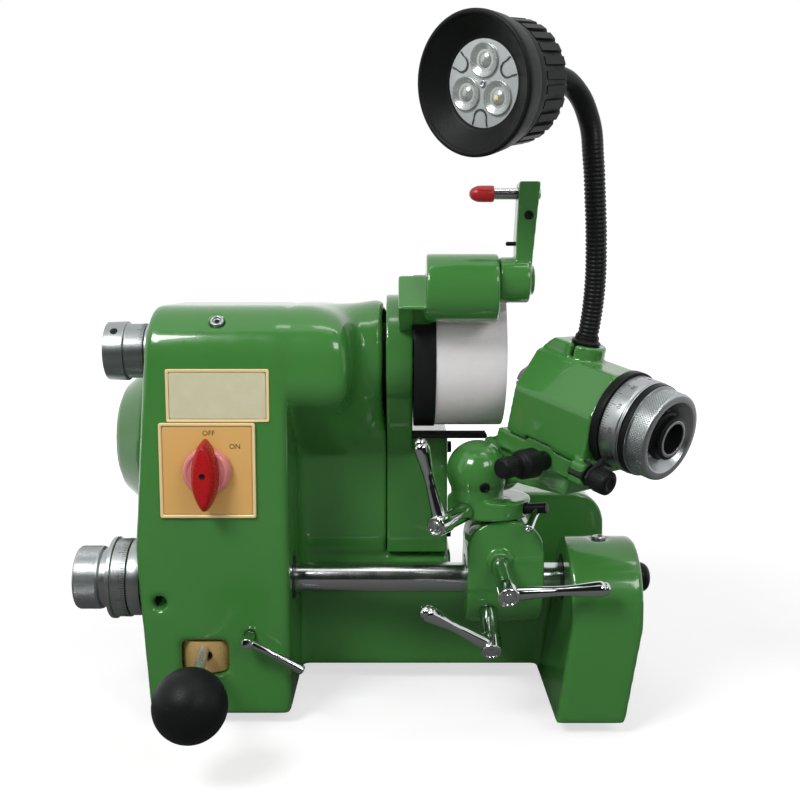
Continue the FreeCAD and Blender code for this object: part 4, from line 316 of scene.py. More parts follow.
# The skirt's pale pink red is a painted sheen: the handle's red drawn lighter for the reflections on its top.
red_skirt_painted_sheen = finish("red_skirt_painted_sheen", (0.66, 0.24, 0.24), (0.56, 0.16, 0.16), (0.14, 0.24), scale=50, grain=800,
                   bump=0.03, coat=0.6)
ink = finish("plate_ink", (0.045, 0.025, 0.012), (0.07, 0.04, 0.02), (0.5, 0.6), scale=300, bump=0.0)
tick_ink = finish("dial_ink", (0.03, 0.03, 0.032), (0.05, 0.05, 0.052), (0.5, 0.6), scale=300, bump=0.0)
rubber = finish("belt_rubber", (0.02, 0.02, 0.02), (0.03, 0.03, 0.03), (0.6, 0.8), scale=80, grain=900,
                bump=0.2)
board_grey = finish("lamp_board", (0.50, 0.53, 0.53), (0.42, 0.45, 0.45), (0.28, 0.44), 0.3, 120, 900, 0.05)
cup_silver = finish("lamp_cup", (0.50, 0.535, 0.51), (0.40, 0.43, 0.41), (0.16, 0.30), 0.55, 200, 900, 0.05)
chip_yellow = finish("lamp_chip", (0.85, 0.78, 0.30), (0.75, 0.68, 0.24), (0.3, 0.4), scale=300, bump=0.02)
grit = finish("white_grit", (0.74, 0.71, 0.715), (0.69, 0.66, 0.665), (0.78, 0.95), scale=55, grain=1300,
              bump=0.5, specular=0.2)
print("finishes", len(bpy.data.materials))

# %% [markdown]
# Most small pieces are turned: knobs, rings, bars, lamp, levers. A profile of distances along the axis and
# radii, in millimetres, is softened at its corners, because no real edge is sharp, then spun round an axis.
# The same helper stores a map of how far along and around each point is, which the lathe lines read.

# %% A lathe in code
def soften(profile, cut, closed):
    """Round the corners of a profile with short three-step curves."""
    most, least = 0.42, 0.02
    points = [Vector(point) for point in profile]
    count = len(points)
    line = []
    for index, point in enumerate(points):
        if not closed and index in (0, count - 1):
            line.append(point)
            continue
        before = points[index - 1] - point
        after = points[(index + 1) % count] - point
        reach_in = min(cut, before.length * most)
        reach_out = min(cut, after.length * most)
        if min(reach_in, reach_out) < least:
            line.append(point)
            continue
        start = point + before.normalized() * reach_in
        end = point + after.normalized() * reach_out
        for step in range(4):
            share = step / 3
            line.append(start * (1 - share) ** 2 + point * 2 * share * (1 - share) + end * share ** 2)
    return line


def smooth(mesh, angle=38):
    """Shade a mesh smoothly but for edges sharper than an angle in degrees."""
    mesh.shade_smooth()
    mesh.set_sharp_from_angle(angle=math.radians(angle))
    return mesh


class Turning:
    """A mesh in the making, in millimetres, built from a spun profile or a loft."""

    def __init__(self):
        self.bm = bmesh.new()
        self.map = self.bm.loops.layers.uv.new("turn")

    def spin(self, profile, origin, axis, segments, cut, closed):
        axis = Vector(axis).normalized()
        side = axis.orthogonal().normalized()
        up = axis.cross(side)
        line = soften(profile, cut, closed)
        rings = []
        for along, radius in line:
            centre = Vector(origin) + axis * along
            if radius < 1e-4:
                rings.append([self.bm.verts.new(centre * MM)])
                continue
            ring = []
            for step in range(segments):
                turn = math.tau * step / segments
                outward = side * math.cos(turn) + up * math.sin(turn)
                ring.append(self.bm.verts.new((centre + outward * radius) * MM))
            rings.append(ring)
        pairs = list(zip(range(len(rings) - 1), range(1, len(rings))))
        if closed:
            pairs.append((len(rings) - 1, 0))
        run = 0.0
        faces = []
        for first, second in pairs:
            length = (line[second] - line[first]).length * MM
            faces += self.band(rings[first], rings[second], run, run + length, segments)
            run += length
        bmesh.ops.recalc_face_normals(self.bm, faces=faces)
        return self

    def band(self, first, second, low, high, segments):
        repeats = 8
        made = []
        for step in range(segments):
            after = (step + 1) % segments
            if len(first) == 1 and len(second) == 1:
                break
            if len(first) == 1:
                corners = [first[0], second[after], second[step]]
                spots = [(step + 0.5, low), (step + 1, high), (step, high)]
            elif len(second) == 1:
                corners = [first[step], first[after], second[0]]
                spots = [(step, low), (step + 1, low), (step + 0.5, high)]
            else:
                corners = [first[step], first[after], second[after], second[step]]
                spots = [(step, low), (step + 1, low), (step + 1, high), (step, high)]
            face = self.bm.faces.new(corners)
            for loop, (turn, along) in zip(face.loops, spots):
                loop[self.map].uv = (repeats * turn / segments, along)
            made.append(face)
        return made

    def loft(self, rings):
        """Join closed rings of points with faces and cap both ends."""
        loops = [[self.bm.verts.new(Vector(point) * MM) for point in ring] for ring in rings]
        faces = []
        for low, high in zip(loops, loops[1:]):
            count = len(low)
            for step in range(count):
                after = (step + 1) % count
                faces.append(self.bm.faces.new((low[step], low[after], high[after], high[step])))
        faces.append(self.bm.faces.new(loops[0][::-1]))
        faces.append(self.bm.faces.new(loops[-1]))
        bmesh.ops.recalc_face_normals(self.bm, faces=faces)
        return self

    def finished(self, look):
        mesh = bpy.data.meshes.new("part")
        self.bm.to_mesh(mesh)
        self.bm.free()
        mesh.materials.append(look)
        return smooth(mesh)


def turned(look, profile, origin, axis, segments=64, cut=0.5, closed=False):
    return Turning().spin(profile, origin, axis, segments, cut, closed).finished(look)


def lofted(look, rings):
    return Turning().loft(rings).finished(look)


def joined(name, meshes, angle):
    """One mesh from several, each keeping its own finish."""
    whole = bmesh.new()
    looks = []
    for mesh in meshes:
        offset = {}
        for slot_index, look in enumerate(mesh.materials):
            if look not in looks:
                looks.append(look)
            offset[slot_index] = looks.index(look)
        before = len(whole.faces)
        whole.from_mesh(mesh)
        whole.faces.ensure_lookup_table()
        for face in whole.faces[before:]:
            face.material_index = offset.get(face.material_index, 0)
    result = bpy.data.meshes.new(name)
    whole.to_mesh(result)
    whole.free()
    for look in looks:
        result.materials.append(look)
    return smooth(result, angle)


def put(name, mesh, body, nodes=()):
    """Make a mesh a piece that rides on a body and stands for some of the model's pieces."""
    piece = bpy.data.objects.new(name, mesh)
    bpy.context.scene.collection.objects.link(piece)
    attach(piece, body)
    if nodes:
        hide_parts(*nodes)
    print(name, len(mesh.polygons), "faces")


def assemble(name, parts, body, nodes=(), angle=38):
    put(name, joined(name, parts, angle), body, nodes)


def points_of(mesh):
    spots = np.empty(len(mesh.vertices) * 3)
    mesh.vertices.foreach_get("co", spots)
    return spots.reshape(-1, 3)


def corners_of(node):
    """A model piece's points in millimetres."""
    return points_of(frame["nodes"][node].data) * 1000


def box_of(node):
    """A model piece's low and high corners in millimetres."""
    return [corner * 1000 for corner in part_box(node)]


def middle_of(spots):
    return (spots.min(0) + spots.max(0)) / 2


def joint_line(body):
    """Where a body's joint stands, in millimetres, and its axis."""
    joint = joint_of[body]
    return np.array(joint["pos_m"]) * 1000, np.array(joint["axis"]) / np.linalg.norm(joint["axis"])


def seat(origin, axis, outward=None):
    """A place in metres whose z runs along an axis and whose x points outward."""
    z = Vector(axis).normalized()
    x = Vector(outward) if outward is not None else z.orthogonal()
    x = (x - z * x.dot(z)).normalized()
    y = z.cross(x)
    turn = Matrix((x, y, z)).transposed().to_4x4()
    return Matrix.Translation(Vector(origin) * MM) @ turn


print("lathe ready")

# %% [markdown]
# Castings have no sharp edges and no seams where ribs meet walls, because molten iron flows into sand. Rather
# than bevel each edge, a copy of the model's piece is merged, rebuilt as an even skin of small squares and
# then relaxed: every corner, inside or outside, rounds off as a pattern maker would round it.

# %% A foundry in code
def settled(thing):
    """The plain mesh that an object's modifiers make; the object itself goes."""
    bpy.context.scene.collection.objects.link(thing)
    bpy.context.view_layer.update()
    made = bpy.data.meshes.new_from_object(thing.evaluated_get(bpy.context.evaluated_depsgraph_get()))
    bpy.data.objects.remove(thing)
    return made


def worked(mesh, kind, **settings):
    """What one modifier makes of a mesh."""
    carrier = bpy.data.objects.new("carrier", mesh)
    work = carrier.modifiers.new("work", kind)
    for key, value in settings.items():
        setattr(work, key, value)
    return settled(carrier)


def relax(mesh, rounds, weight=None):
    """Pull every point towards the mean of its neighbours."""
    count = len(mesh.vertices)
    spots = points_of(mesh)
    pairs = np.empty(len(mesh.edges) * 2, np.int32)
    mesh.edges.foreach_get("vertices", pairs)
    pairs = pairs.reshape(-1, 2)
    degree = np.bincount(pairs.ravel(), minlength=count)[:, None]
    pull = 0.5
    if weight is not None:
        pull = 0.5 * weight(spots)[:, None]
        pairs = pairs[(pull[pairs[:, 0], 0] > 0) | (pull[pairs[:, 1], 0] > 0)]
    for _ in range(rounds):
        total = np.stack([
            np.bincount(pairs[:, 0], spots[pairs[:, 1], axis], count)
            + np.bincount(pairs[:, 1], spots[pairs[:, 0], axis], count)
            for axis in range(3)
        ], 1)
        spots += pull * (total / degree - spots)
    mesh.vertices.foreach_set("co", spots.ravel())
    mesh.update()


def merged_copy(nodes, flat=False):
    """A welded copy of model pieces, with flat areas as single faces if asked."""
    made = bmesh.new()
    for node in nodes:
        made.from_mesh(frame["nodes"][node].data)
    bmesh.ops.remove_doubles(made, verts=made.verts, dist=1e-6)
    if flat:
        bmesh.ops.dissolve_limit(made, angle_limit=math.radians(1), verts=made.verts, edges=made.edges)
    mesh = bpy.data.meshes.new(nodes[0])
    made.to_mesh(mesh)
    made.free()
    mesh.materials.clear()
    return mesh


def near_path(path, width):
    """A weight of one along a path that fades to nothing at a width from it."""
    steep = 1.5
    knots = np.array(path) * MM

    def weight(spots):
        away = np.full(len(spots), 1.0)
        for first, last in zip(knots, knots[1:]):
            run = last - first
            along = np.clip((spots - first) @ run / (run @ run), 0, 1)
            away = np.minimum(away, np.linalg.norm(spots - first - along[:, None] * run, axis=1))
        return np.clip(steep - steep * away / (width * MM), 0, 1)

    return weight


def cast(name, nodes, body, voxel, rounds, share, fillets=(), shape=None):
    """A model piece in green enamel with every corner rounded; share is how many of its faces stay."""
    mesh = worked(merged_copy(nodes), "REMESH", mode="VOXEL", voxel_size=voxel * MM)
    if shape:
        mesh.vertices.foreach_set("co", shape(points_of(mesh) / MM).ravel() * MM)
    for path, width, more in fillets:
        relax(mesh, more, near_path(path, width))
    relax(mesh, rounds)
    mesh = worked(mesh, "DECIMATE", ratio=share)
    mesh.shade_smooth()
    mesh.materials.append(enamel)
    put(name, mesh, body, nodes)


def machined(name, node, body, width, look):
    """A model piece whose edges are broken, as a file or a chamfer tool leaves them."""
    mesh = worked(merged_copy([node], True), "BEVEL", width=width * MM, segments=2, limit_method="ANGLE",
                  angle_limit=math.radians(40))
    mesh.materials.append(look)
    put(name, smooth(mesh, 35), body, [node])


def longer_shoulder(spots):
    """Carry the shoulder's outer skin closer to the ring than its solid goes."""
    start, end, front_wall, under = -62, -33.5, -19.9, 204
    barrel, fade, extra, ramp = 33.6, 2, 7, 26
    x, y, z = spots.T
    off_barrel = np.clip((np.hypot(y - SPINDLE[1], z - SPINDLE[2]) - barrel) / fade, 0, 1)
    on_block = (x > start) & (x < end) & (y < front_wall) & (z > under)
    spots[:, 0] += extra * np.clip((x - start) / ramp, 0, 1) * off_barrel * on_block
    return spots


arc_radius, arc_x = 42, -30
shoulder_arc = []
for degrees in range(-75, 106, 15):
    turn = math.radians(degrees)
    shoulder_arc.append((
        arc_x, SPINDLE[1] - arc_radius * math.cos(turn), SPINDLE[2] + arc_radius * math.sin(turn)))
cast("machine_casting", ("base_casting", "wheelhead_casting"), "machine", 1.7, 8, 0.42, fillets=[
    ([(-70, -19, 95), (-70, -19, 210)], 16, 50),
    ([(-60, -19, 95), (60, -19, 95)], 12, 30),
    (shoulder_arc, 27, 320),
], shape=longer_shoulder)
cast("belt_cover_shell", ("belt_cover",), "machine", 0.9, 4, 0.3)
cast("dresser_casting", ("dresser_bracket",), "machine", 0.9, 8, 0.6)
cast("bracket_casting", ("bar_bracket",), "bracket", 1.0, 12, 0.8)
cast("swivel_casting", ("swivel_block",), "swivel", 0.9, 10, 0.8)
cast("tilt_casting", ("tilt_arm",), "tilt", 0.9, 14, 0.8)
cast("slide_casting", ("cross_slide",), "tilt", 0.9, 4, 0.6)
cast("head_casting", ("head_body",), "head", 0.9, 6, 0.6)
cast("dresser_arm_casting", ("dresser_arm",), "dresser", 0.8, 6, 0.8)
cast("motor_cowl_shell", ("motor_cowl",), "machine", 1.2, 6, 0.6)

# %% [markdown]
# Knurls, dial marks, cooling ribs and screws are all one shape repeated round an axis, sometimes in several
# rows that are offset like bricks. One Geometry Nodes tree does it for every dial and knob: it lays points on
# rings, turns each one outward and puts the shape there.

# %% A ring of shapes
SOLID, FINISH, COUNT = "NodeSocketGeometry", "NodeSocketMaterial", "NodeSocketInt"


def shape_tree(name, inputs):
    """An empty Geometry Nodes tree, the names of its inputs, their outputs inside it and its end."""
    tree = bpy.data.node_groups.new(name, "GeometryNodeTree")
    sockets = {}
    for label, kind in inputs:
        sockets[label] = tree.interface.new_socket(label, in_out="INPUT", socket_type=kind).identifier
    tree.interface.new_socket("Geometry", in_out="OUTPUT", socket_type=SOLID)
    return tree, sockets, tree.nodes.new("NodeGroupInput").outputs, tree.nodes.new("NodeGroupOutput")


def end_tree(tree, shape, look, given):
    """Make what the tree built real geometry and give it its finish."""
    solid = add_node(tree, "GeometryNodeRealizeInstances", {0: shape})
    coated = add_node(tree, "GeometryNodeSetMaterial", {"Geometry": solid.outputs[0], "Material": look})
    feed(tree, given, {0: coated.outputs[0]})
    print(tree.name, len(tree.nodes), "nodes")


def grown(thing, tree, sockets, values):
    """What a tree makes of an object with the given values."""
    work = thing.modifiers.new("work", "NODES")
    work.node_group = tree
    for label, value in values.items():
        work[sockets[label]] = value
    return settled(thing)


ring_tree, ring_sockets, port, given = shape_tree("ring_of_shapes", [
    ("Shape", "NodeSocketObject"), ("Finish", FINISH), ("Count", COUNT), ("Rows", COUNT), ("Radius", FLOAT),
    ("Row Step", FLOAT)])
calc = partial(sum_node, ring_tree)
dots = add_node(ring_tree, "GeometryNodeMeshLine", {"Count": calc("MULTIPLY", port["Count"], port["Rows"])})
index = add_node(ring_tree, "GeometryNodeInputIndex").outputs[0]
column = calc("MODULO", index, port["Count"])
row = calc("FLOOR", calc("DIVIDE", index, port["Count"]))
shifted = calc("MULTIPLY", calc("MODULO", row, 2), 0.5)
turn = calc("MULTIPLY", calc("DIVIDE", calc("ADD", column, shifted), port["Count"]), math.tau)
spot = add_node(ring_tree, "ShaderNodeCombineXYZ", {
    0: calc("MULTIPLY", calc("COSINE", turn), port["Radius"]),
    1: calc("MULTIPLY", calc("SINE", turn), port["Radius"]),
    2: calc("MULTIPLY", row, port["Row Step"])})
laid = add_node(ring_tree, "GeometryNodeSetPosition", {
    "Geometry": dots.outputs[0], "Position": spot.outputs[0]})
facing = add_node(ring_tree, "ShaderNodeCombineXYZ", {2: turn})
heading = add_node(ring_tree, "FunctionNodeEulerToRotation", {0: facing.outputs[0]})
source = add_node(ring_tree, "GeometryNodeObjectInfo", {"Object": port["Shape"]})
spread = add_node(ring_tree, "GeometryNodeInstanceOnPoints", {
    "Points": laid.outputs[0], "Instance": source.outputs["Geometry"], "Rotation": heading.outputs[0]})
end_tree(ring_tree, spread.outputs[0], port["Finish"], given)


def ring(shape, look, place, count, radius, rows=1, step=0.0):
    """A shape in millimetres, x outward and z along the axis, repeated round a place."""
    sample = bpy.data.objects.new("sample", shape)
    bpy.context.scene.collection.objects.link(sample)
    carrier = bpy.data.objects.new("carrier", bpy.data.meshes.new("carrier"))
    made = grown(carrier, ring_tree, ring_sockets, {
        "Shape": sample, "Finish": look, "Count": count, "Rows": rows, "Radius": float(radius * MM),
        "Row Step": float(step * MM)})
    bpy.data.objects.remove(sample)
    made.transform(place)
    return made


def small_mesh(name, spots, faces):
    mesh = bpy.data.meshes.new(name)
    mesh.from_pydata([Vector(spot) * MM for spot in spots], [], faces)
    return mesh


def brick(deep, wide, tall, taper=1.0):
    """A small block that stands out from a ring: depth outward, width round, height along."""
    low = [(-deep / 2, sy * wide / 2, sz * tall / 2) for sy, sz in ((-1, -1), (1, -1), (1, 1), (-1, 1))]
    high = [(deep / 2, y * taper, z * taper) for _, y, z in low]
    return small_mesh("brick", low + high, [
        (3, 2, 1, 0), (4, 5, 6, 7), (0, 1, 5, 4), (1, 2, 6, 5), (2, 3, 7, 6), (3, 0, 4, 7)])


def diamond(pitch_round, pitch_along, tall):
    """One pyramid of a diamond knurl, its base sunk a little into the ring."""
    sunk = -0.1
    side = pitch_round / 2
    base = [(sunk, 0, -pitch_along), (sunk, side, 0), (sunk, 0, pitch_along), (sunk, -side, 0)]
    return small_mesh("diamond", base + [(tall, 0, 0)], [
        (3, 2, 1, 0), (0, 1, 4), (1, 2, 4), (2, 3, 4), (3, 0, 4)])


def knurl(origin, axis, radius, start, end, pitch, tall, look):
    row_share = 0.55
    count = round(math.tau * radius / pitch)
    step = pitch * row_share
    rows = int((end - start) / step) - 1
    place = seat(Vector(origin) + Vector(axis).normalized() * (start + step), axis)
    return ring(diamond(math.tau * radius / count, step, tall), look, place, count, radius, rows, step)


def dial_marks(origin, axis, radius, edge, way, count, lengths, wide):
    """Engraved lines round a ring, every fifth and tenth one longer."""
    relief = 0.12
    axis = Vector(axis).normalized()
    made = []
    for every, length in lengths:
        place = seat(Vector(origin) + axis * (edge + way * length / 2), axis, UP)
        made.append(ring(brick(relief, wide, length), tick_ink, place, count // every, radius))
    return made


# %% [markdown]
# The wheel is white bonded grit, a coarse matt stone with a dressed face, on a blackened plate. It is turned
# with small broken corners, because a dresser never leaves a sharp one.

# %% Grinding wheel
assemble("wheel_grit", [
    turned(grit, [(18, 10), (18, 50), (68, 50), (68, 26), (48, 26), (48, 10)],
           SPINDLE, RIGHT, 128, 0.9, True),
], "grinding_spindle", ["grinding_wheel"])
machined("wheel_plate", "wheel_hub", "grinding_spindle", 0.5, blackened)
machined("wheel_nut_turned", "wheel_nut", "grinding_spindle", 0.4, ground_steel)
machined("spark_sheet", "spark_lip", "machine", 0.3, deep_black_and_painted_shade)

# %% [markdown]
# The guide bar is hard-chromed and ground. Only its ends need shaping; its looks come from what it mirrors,
# but its end at the pedestal's right side is drawn black as painted shade.

# %% Guide bar
assemble("ground_bar", [
    turned(bar_chrome, [(-150, 0), (-150, 10), (158, 10), (158, 0)], BAR, RIGHT, 96, 0.8),
    # The end beyond the chromed length is drawn in blackened steel, a painted shade for that shadowed end.
    turned(blackened, [
        (157, 0), (157, 9.9), (160.5, 9.9), (163, 9), (165, 7), (166, 4.4), (166, 3.4), (164.5, 2.8),
        (164.5, 0),
    ], BAR, RIGHT, 72, 0.9),
], "guide_bar", ["guide_bar"])

# %% [markdown]
# The clamping levers are chromed: a post, a hub with a recessed cap, and an arm that swells towards a round
# end. Their places are read from the model: the post stands on the lever's own joint and the arm points to
# the model's furthest point from it.

# %% Clamping levers
def lever_place(name):
    """A lever's foot, axis, arm height, arm direction and reach, and the low and high ends of its post."""
    tip_depth = 0.7
    foot, axis = joint_line(name)
    spots = corners_of(name) - foot
    along = spots @ axis
    off = spots - along[:, None] * axis
    away = np.linalg.norm(off, axis=1)
    tip = away > away.max() - tip_depth
    way = Vector(off[tip].mean(0)).normalized()
    return Vector(foot), Vector(axis), along[tip].mean(), way, away.max(), along.min(), along.max()


def clamp_lever(name):
    foot, axis, middle, way, reach, low, high = lever_place(name)
    assemble(name + "_chrome", [
        turned(chrome, [
            (low, 0), (low, 4), (0.6, 4), (0.6, 5.8), (middle - 6.6, 5.8), (middle - 6, 6.6),
            (high - 0.8, 6.6), (high, 5.6), (high, 4.6), (high - 0.9, 4.3), (high - 0.9, 3.0),
            (high - 0.3, 2.7), (high - 0.3, 0),
        ], foot, axis, 48, 0.4),
        turned(chrome, [
            (2, 0), (2, 4.5), (8, 4.3), (reach * 0.46, 3.1), (reach * 0.58, 3.2), (reach - 10, 4.8),
            (reach - 6, 5.1), (reach - 4.2, 4.5), (reach - 3.8, 3.9), (reach - 3.0, 4.2), (reach - 1.2, 3.6),
            (reach, 1.5), (reach, 0),
        ], foot + axis * middle, way, 40, 1.0),
    ], name, [name])


def rod_lever(piece, name, radius, post_look):
    foot, axis, middle, way, reach, low, high = lever_place(name)
    assemble(piece, [
        turned(chrome, [
            (0, 0), (0, radius), (reach * 0.5, radius), (reach - 4, radius * 1.25),
            (reach - 0.8, radius * 1.3), (reach, radius * 0.8), (reach, 0),
        ], foot + axis * middle, way, 32, 0.6),
        turned(post_look, [(low, 0), (low, 3.4), (high - 0.4, 3.4), (high, 2.6), (high, 0)],
               foot, axis, 40, 0.5),
    ], name, [name])


for name in ("swivel_lever", "rock_lever", "slide_lever"):
    clamp_lever(name)
# The knuckle lever's post is drawn black as painted shade, for the shadow under its arm.
rod_lever("knuckle_rod_chrome", "knuckle_lever", 2.2, blackened)
rod_lever("column_rod_chrome", "column_lever", 2.3, chrome)

# %% [markdown]
# The feed knob and the micrometer stop are satin turned metal with scales. The grip of the stop is diamond
# knurled, a ring of small pyramids in staggered rows; its band carries engraved lines.

# %% Feed knob and micrometer stop
hole_off = 14.1
assemble("feed_grip", [
    turned(dark_satin, [
        (-198, 0), (-198, 16), (-197, 17), (-197, 19.6), (-183.6, 20), (-183.4, 18.4), (-170.4, 18.4),
        (-170.4, 6), (-97, 6), (-97, 0),
    ], SPINDLE, RIGHT, 96),
    turned(blackened, [(-0.3, 0), (-0.3, 2.5), (0.12, 2.5), (0.12, 0)],
           (-190, SPINDLE[1] - hole_off, SPINDLE[2] + hole_off), (0, -1, 1), 24, 0.1),
    *dial_marks(SPINDLE, RIGHT, 18.4, -170.6, -1, 100, ((1, 2.2), (5, 3.4), (10, 4.6)), 0.25),
], "feed_knob", ["feed_knob"])
machined("feed_collar_turned", "feed_collar", "machine", 0.4, satin)
assemble("stop_grip", [
    turned(satin, [
        (-214, 0), (-214, 14), (-213, 15), (-213, 20), (-212, 20.6), (-197, 20.6), (-196, 19), (-190.2, 19),
        (-190, 26.8), (-187.2, 27), (-186.8, 25.8), (-177.4, 25.8), (-177.4, 8), (-207, 8), (-207, 0),
    ], BAR, RIGHT, 96, 0.4),
    knurl(BAR, RIGHT, 20.5, -212, -197.4, 1.5, 0.45, satin),
    *dial_marks(BAR, RIGHT, 25.8, -177.6, -1, 100, ((1, 2.6), (5, 4.2), (10, 6)), 0.3),
], "stop_knob", ["stop_knob"])
machined("stop_collar_turned", "stop_collar", "machine", 0.5, satin)

# %% [markdown]
# The ball lever moves the bar through a brass drum behind the window. The ball is a moulded plastic knob with
# a flat where the rod enters and a faint line where the mould's halves met.

# %% Ball lever
ball_radius, seam_step, rod_stop = 21, 17, 19
ball_centre = Vector(middle_of(corners_of("ball_knob")))
drum_centre = Vector((-125, -70, 46))
rod_root = drum_centre + Vector((-1.5, -10, 4.5))
rod_run = ball_centre - rod_root
rod_end = rod_run.length - rod_stop
assemble("lever_rod_plated", [
    turned(cup_silver, [
        (0, 0), (0, 3.5), (rod_end - 7, 3.5), (rod_end - 6, 4.6), (rod_end, 4.6), (rod_end, 0),
    ], rod_root, rod_run.normalized(), 40),
], "ball_lever", ["lever_rod"])
profile = [(-20.2, 0), (-20.2, 7.5)]
for step in range(1, 36):
    turn = math.radians(158 - step * 4.4)
    groove = 0.25 if step == seam_step else 0.0
    profile.append((ball_radius * math.cos(turn), ball_radius * math.sin(turn) - groove))
profile += [(ball_radius, 0)]
assemble("ball_moulded", [
    turned(black_plastic, profile, ball_centre, (ball_centre - drum_centre).normalized(), 72, 0.2),
], "ball_lever", ["ball_knob"])
machined("lever_drum_brass", "lever_drum", "ball_lever", 0.4, brass)

# %% [markdown]
# The index head carries three rings and a knurled handwheel on one tilted axis. The rings are turned, the
# graduated one gets lines and plain numbers, and the wheel's conical mouth shows the black drawbar nut.

# %% Index rings and handwheel
def lettering(word, size, place, look):
    """Plain raised letters as a mesh, laid on a place."""
    text = bpy.data.curves.new("letters", "FONT")
    text.body = word
    text.size = size * MM
    text.align_x = "CENTER"
    text.align_y = "CENTER"
    text.extrude = 0.06 * MM
    text.resolution_u = 3
    mesh = settled(bpy.data.objects.new("letters", text))
    mesh.transform(place)
    mesh.materials.clear()
    mesh.materials.append(look)
    return mesh


def numbers(words, origin, axis, radius, along, size, look):
    """Plain figures round a ring, each laid flat on it."""
    side = (Vector(UP) - axis * axis.z).normalized()
    made = []
    for step, word in enumerate(words):
        outward = Matrix.Rotation(math.tau * step / len(words), 3, axis) @ side
        turn = Matrix((axis.cross(outward), -axis, outward)).transposed().to_4x4()
        spot = origin + axis * along + outward * radius
        made.append(lettering(word, size, Matrix.Translation(spot * MM) @ turn, look))
    return made


index_spot, head_way = (Vector(value) for value in joint_line("index"))
joint_along = 60
head_zero = index_spot - head_way * joint_along
HEAD = (head_zero, head_way)
assemble("index_ring_dark", [
    turned(blackened, [(86.4, 15), (86.4, 30), (91.7, 30), (91.7, 15)], *HEAD, 120, 0.6, True),
], "index", ["index_ring"])
assemble("scale_ring_turned", [
    turned(satin, [
        (92.1, 15), (92.1, 28.5), (103, 28.5), (103.6, 27.9), (104.4, 27.9), (105, 28.5), (105.8, 28.5),
        (105.8, 15),
    ], *HEAD, 120, 0.4, True),
    *dial_marks(*HEAD, 28.5, 92.6, 1, 120, ((1, 2.4), (5, 3.6), (10, 4.6)), 0.32),
    *numbers([str(30 * step) for step in range(12)], *HEAD, 28.5, 99.8, 3.6, tick_ink),
], "index", ["scale_ring"])
assemble("handwheel_knurled", [
    turned(satin, [
        (106.2, 10), (106.2, 27.6), (109.8, 27.6), (109.9, 25.6), (110.5, 26.2), (121.4, 26.2), (122, 25.4),
        (122, 21.5), (113, 15.2), (111.5, 10),
    ], *HEAD, 120, 0.4, True),
    turned(blackened, [(106.1, 15), (106.1, 28), (109.7, 28), (109.7, 15)], *HEAD, 120, 0.5, True),
    knurl(*HEAD, 26.0, 110.7, 121.3, 1.7, 0.65, satin),
], "index", ["handwheel"])
assemble("drawbar_nut", [
    turned(blackened, [
        (112, 5), (112, 13), (116.5, 13), (117, 14.6), (118.4, 14.6), (119, 12.8), (121.5, 12.4), (122, 13),
        (123.2, 13), (123.9, 12), (123.9, 9.2), (116, 8.2), (116, 5),
    ], *HEAD, 72, 0.4, True),
    turned(satin, [(123.0, 9.3), (123.0, 11.2), (124.0, 11.2), (124.0, 9.3)], *HEAD, 64, 0.3, True),
    turned(blackened, [(32, 5), (32, 8.4), (112.4, 8.4), (112.4, 5)], *HEAD, 48, 0.3, True),
], "drawbar", ["drawbar"])

# %% [markdown]
# The cross slide's screw and the index plunger end in black moulded knobs. Each is turned on the axis of its
# own joint, with a fine straight knurl. The plunger also carries a flat catch that reaches into the index
# ring, and slides in a shoe on the head.

# %% Slide screw and index plunger
screw_zero, across = (Vector(value) for value in joint_line("slide_screw"))
screw_along = np.array([(Vector(spot) - screw_zero).dot(across) for spot in corners_of("slide_screw")])
low, high = screw_along.min(), screw_along.max()
assemble("slide_knob", [
    turned(black_plastic, [
        (low, 0), (low, 4.9), (low + 1.2, 6.2), (low + 11, 6.4), (low + 12.4, 5.4), (low + 16, 5.2),
        (low + 17, 7.8), (low + 18.4, 8.9), (low + 29, 9.2), (low + 30.4, 8.2), (low + 32, 6), (low + 40, 6),
        (low + 40, 3), (high, 3), (high, 0),
    ], screw_zero, across, 64, 0.7),
    ring(brick(0.6, 0.8, 8.5, 0.6), black_plastic, seat(screw_zero + across * (low + 6.2), across), 26, 6.2),
], "slide_screw", ["slide_screw"])

plunger_spots = corners_of("index_plunger")
plunger_along = (plunger_spots - np.array(head_zero)) @ np.array(head_way)
low, high = plunger_along.min(), plunger_along.max()
tip_ring = plunger_spots[plunger_along > high - 0.2]
plunger_zero = Vector(middle_of(tip_ring)) - head_way * high
catch_back, catch_front = high - 15, high - 12
to_ring = head_zero - plunger_zero
to_ring = (to_ring - head_way * to_ring.dot(head_way)).normalized()
aside = head_way.cross(to_ring)


def on_plunger(along, inward, sideways):
    return plunger_zero + head_way * along + to_ring * inward + aside * sideways


catch_half = [(11.6, 2.4), (7, 3.6), (0, 5.2), (-4, 4.2), (-5.4, 0)]
catch_outline = [(11.6, -2.4), *catch_half, *[(inward, -half) for inward, half in catch_half[-2:0:-1]]]
catch_rings = []
for along, trim in ((catch_back, 0.5), (catch_back + 0.5, 0), (catch_front - 0.5, 0), (catch_front, 0.5)):
    catch_rings.append([
        on_plunger(along, inward - trim * (inward > 0),
                   math.copysign(abs(half) - trim if half else 0.0, half))
        for inward, half in catch_outline])
shoe_rings = []
for along, half in ((80.6, 5.8), (81.3, 6.4), (90.6, 6.4), (91.3, 5.8)):
    outline_points = []
    for degrees in range(45, 405, 30):
        turn = math.radians(degrees)
        reach = half / max(abs(math.cos(turn)), abs(math.sin(turn))) ** 0.55
        outline_points.append(on_plunger(along, math.cos(turn) * reach, math.sin(turn) * reach))
    shoe_rings.append(outline_points)
assemble("plunger_shoe", [lofted(black_plastic, shoe_rings)], "head")
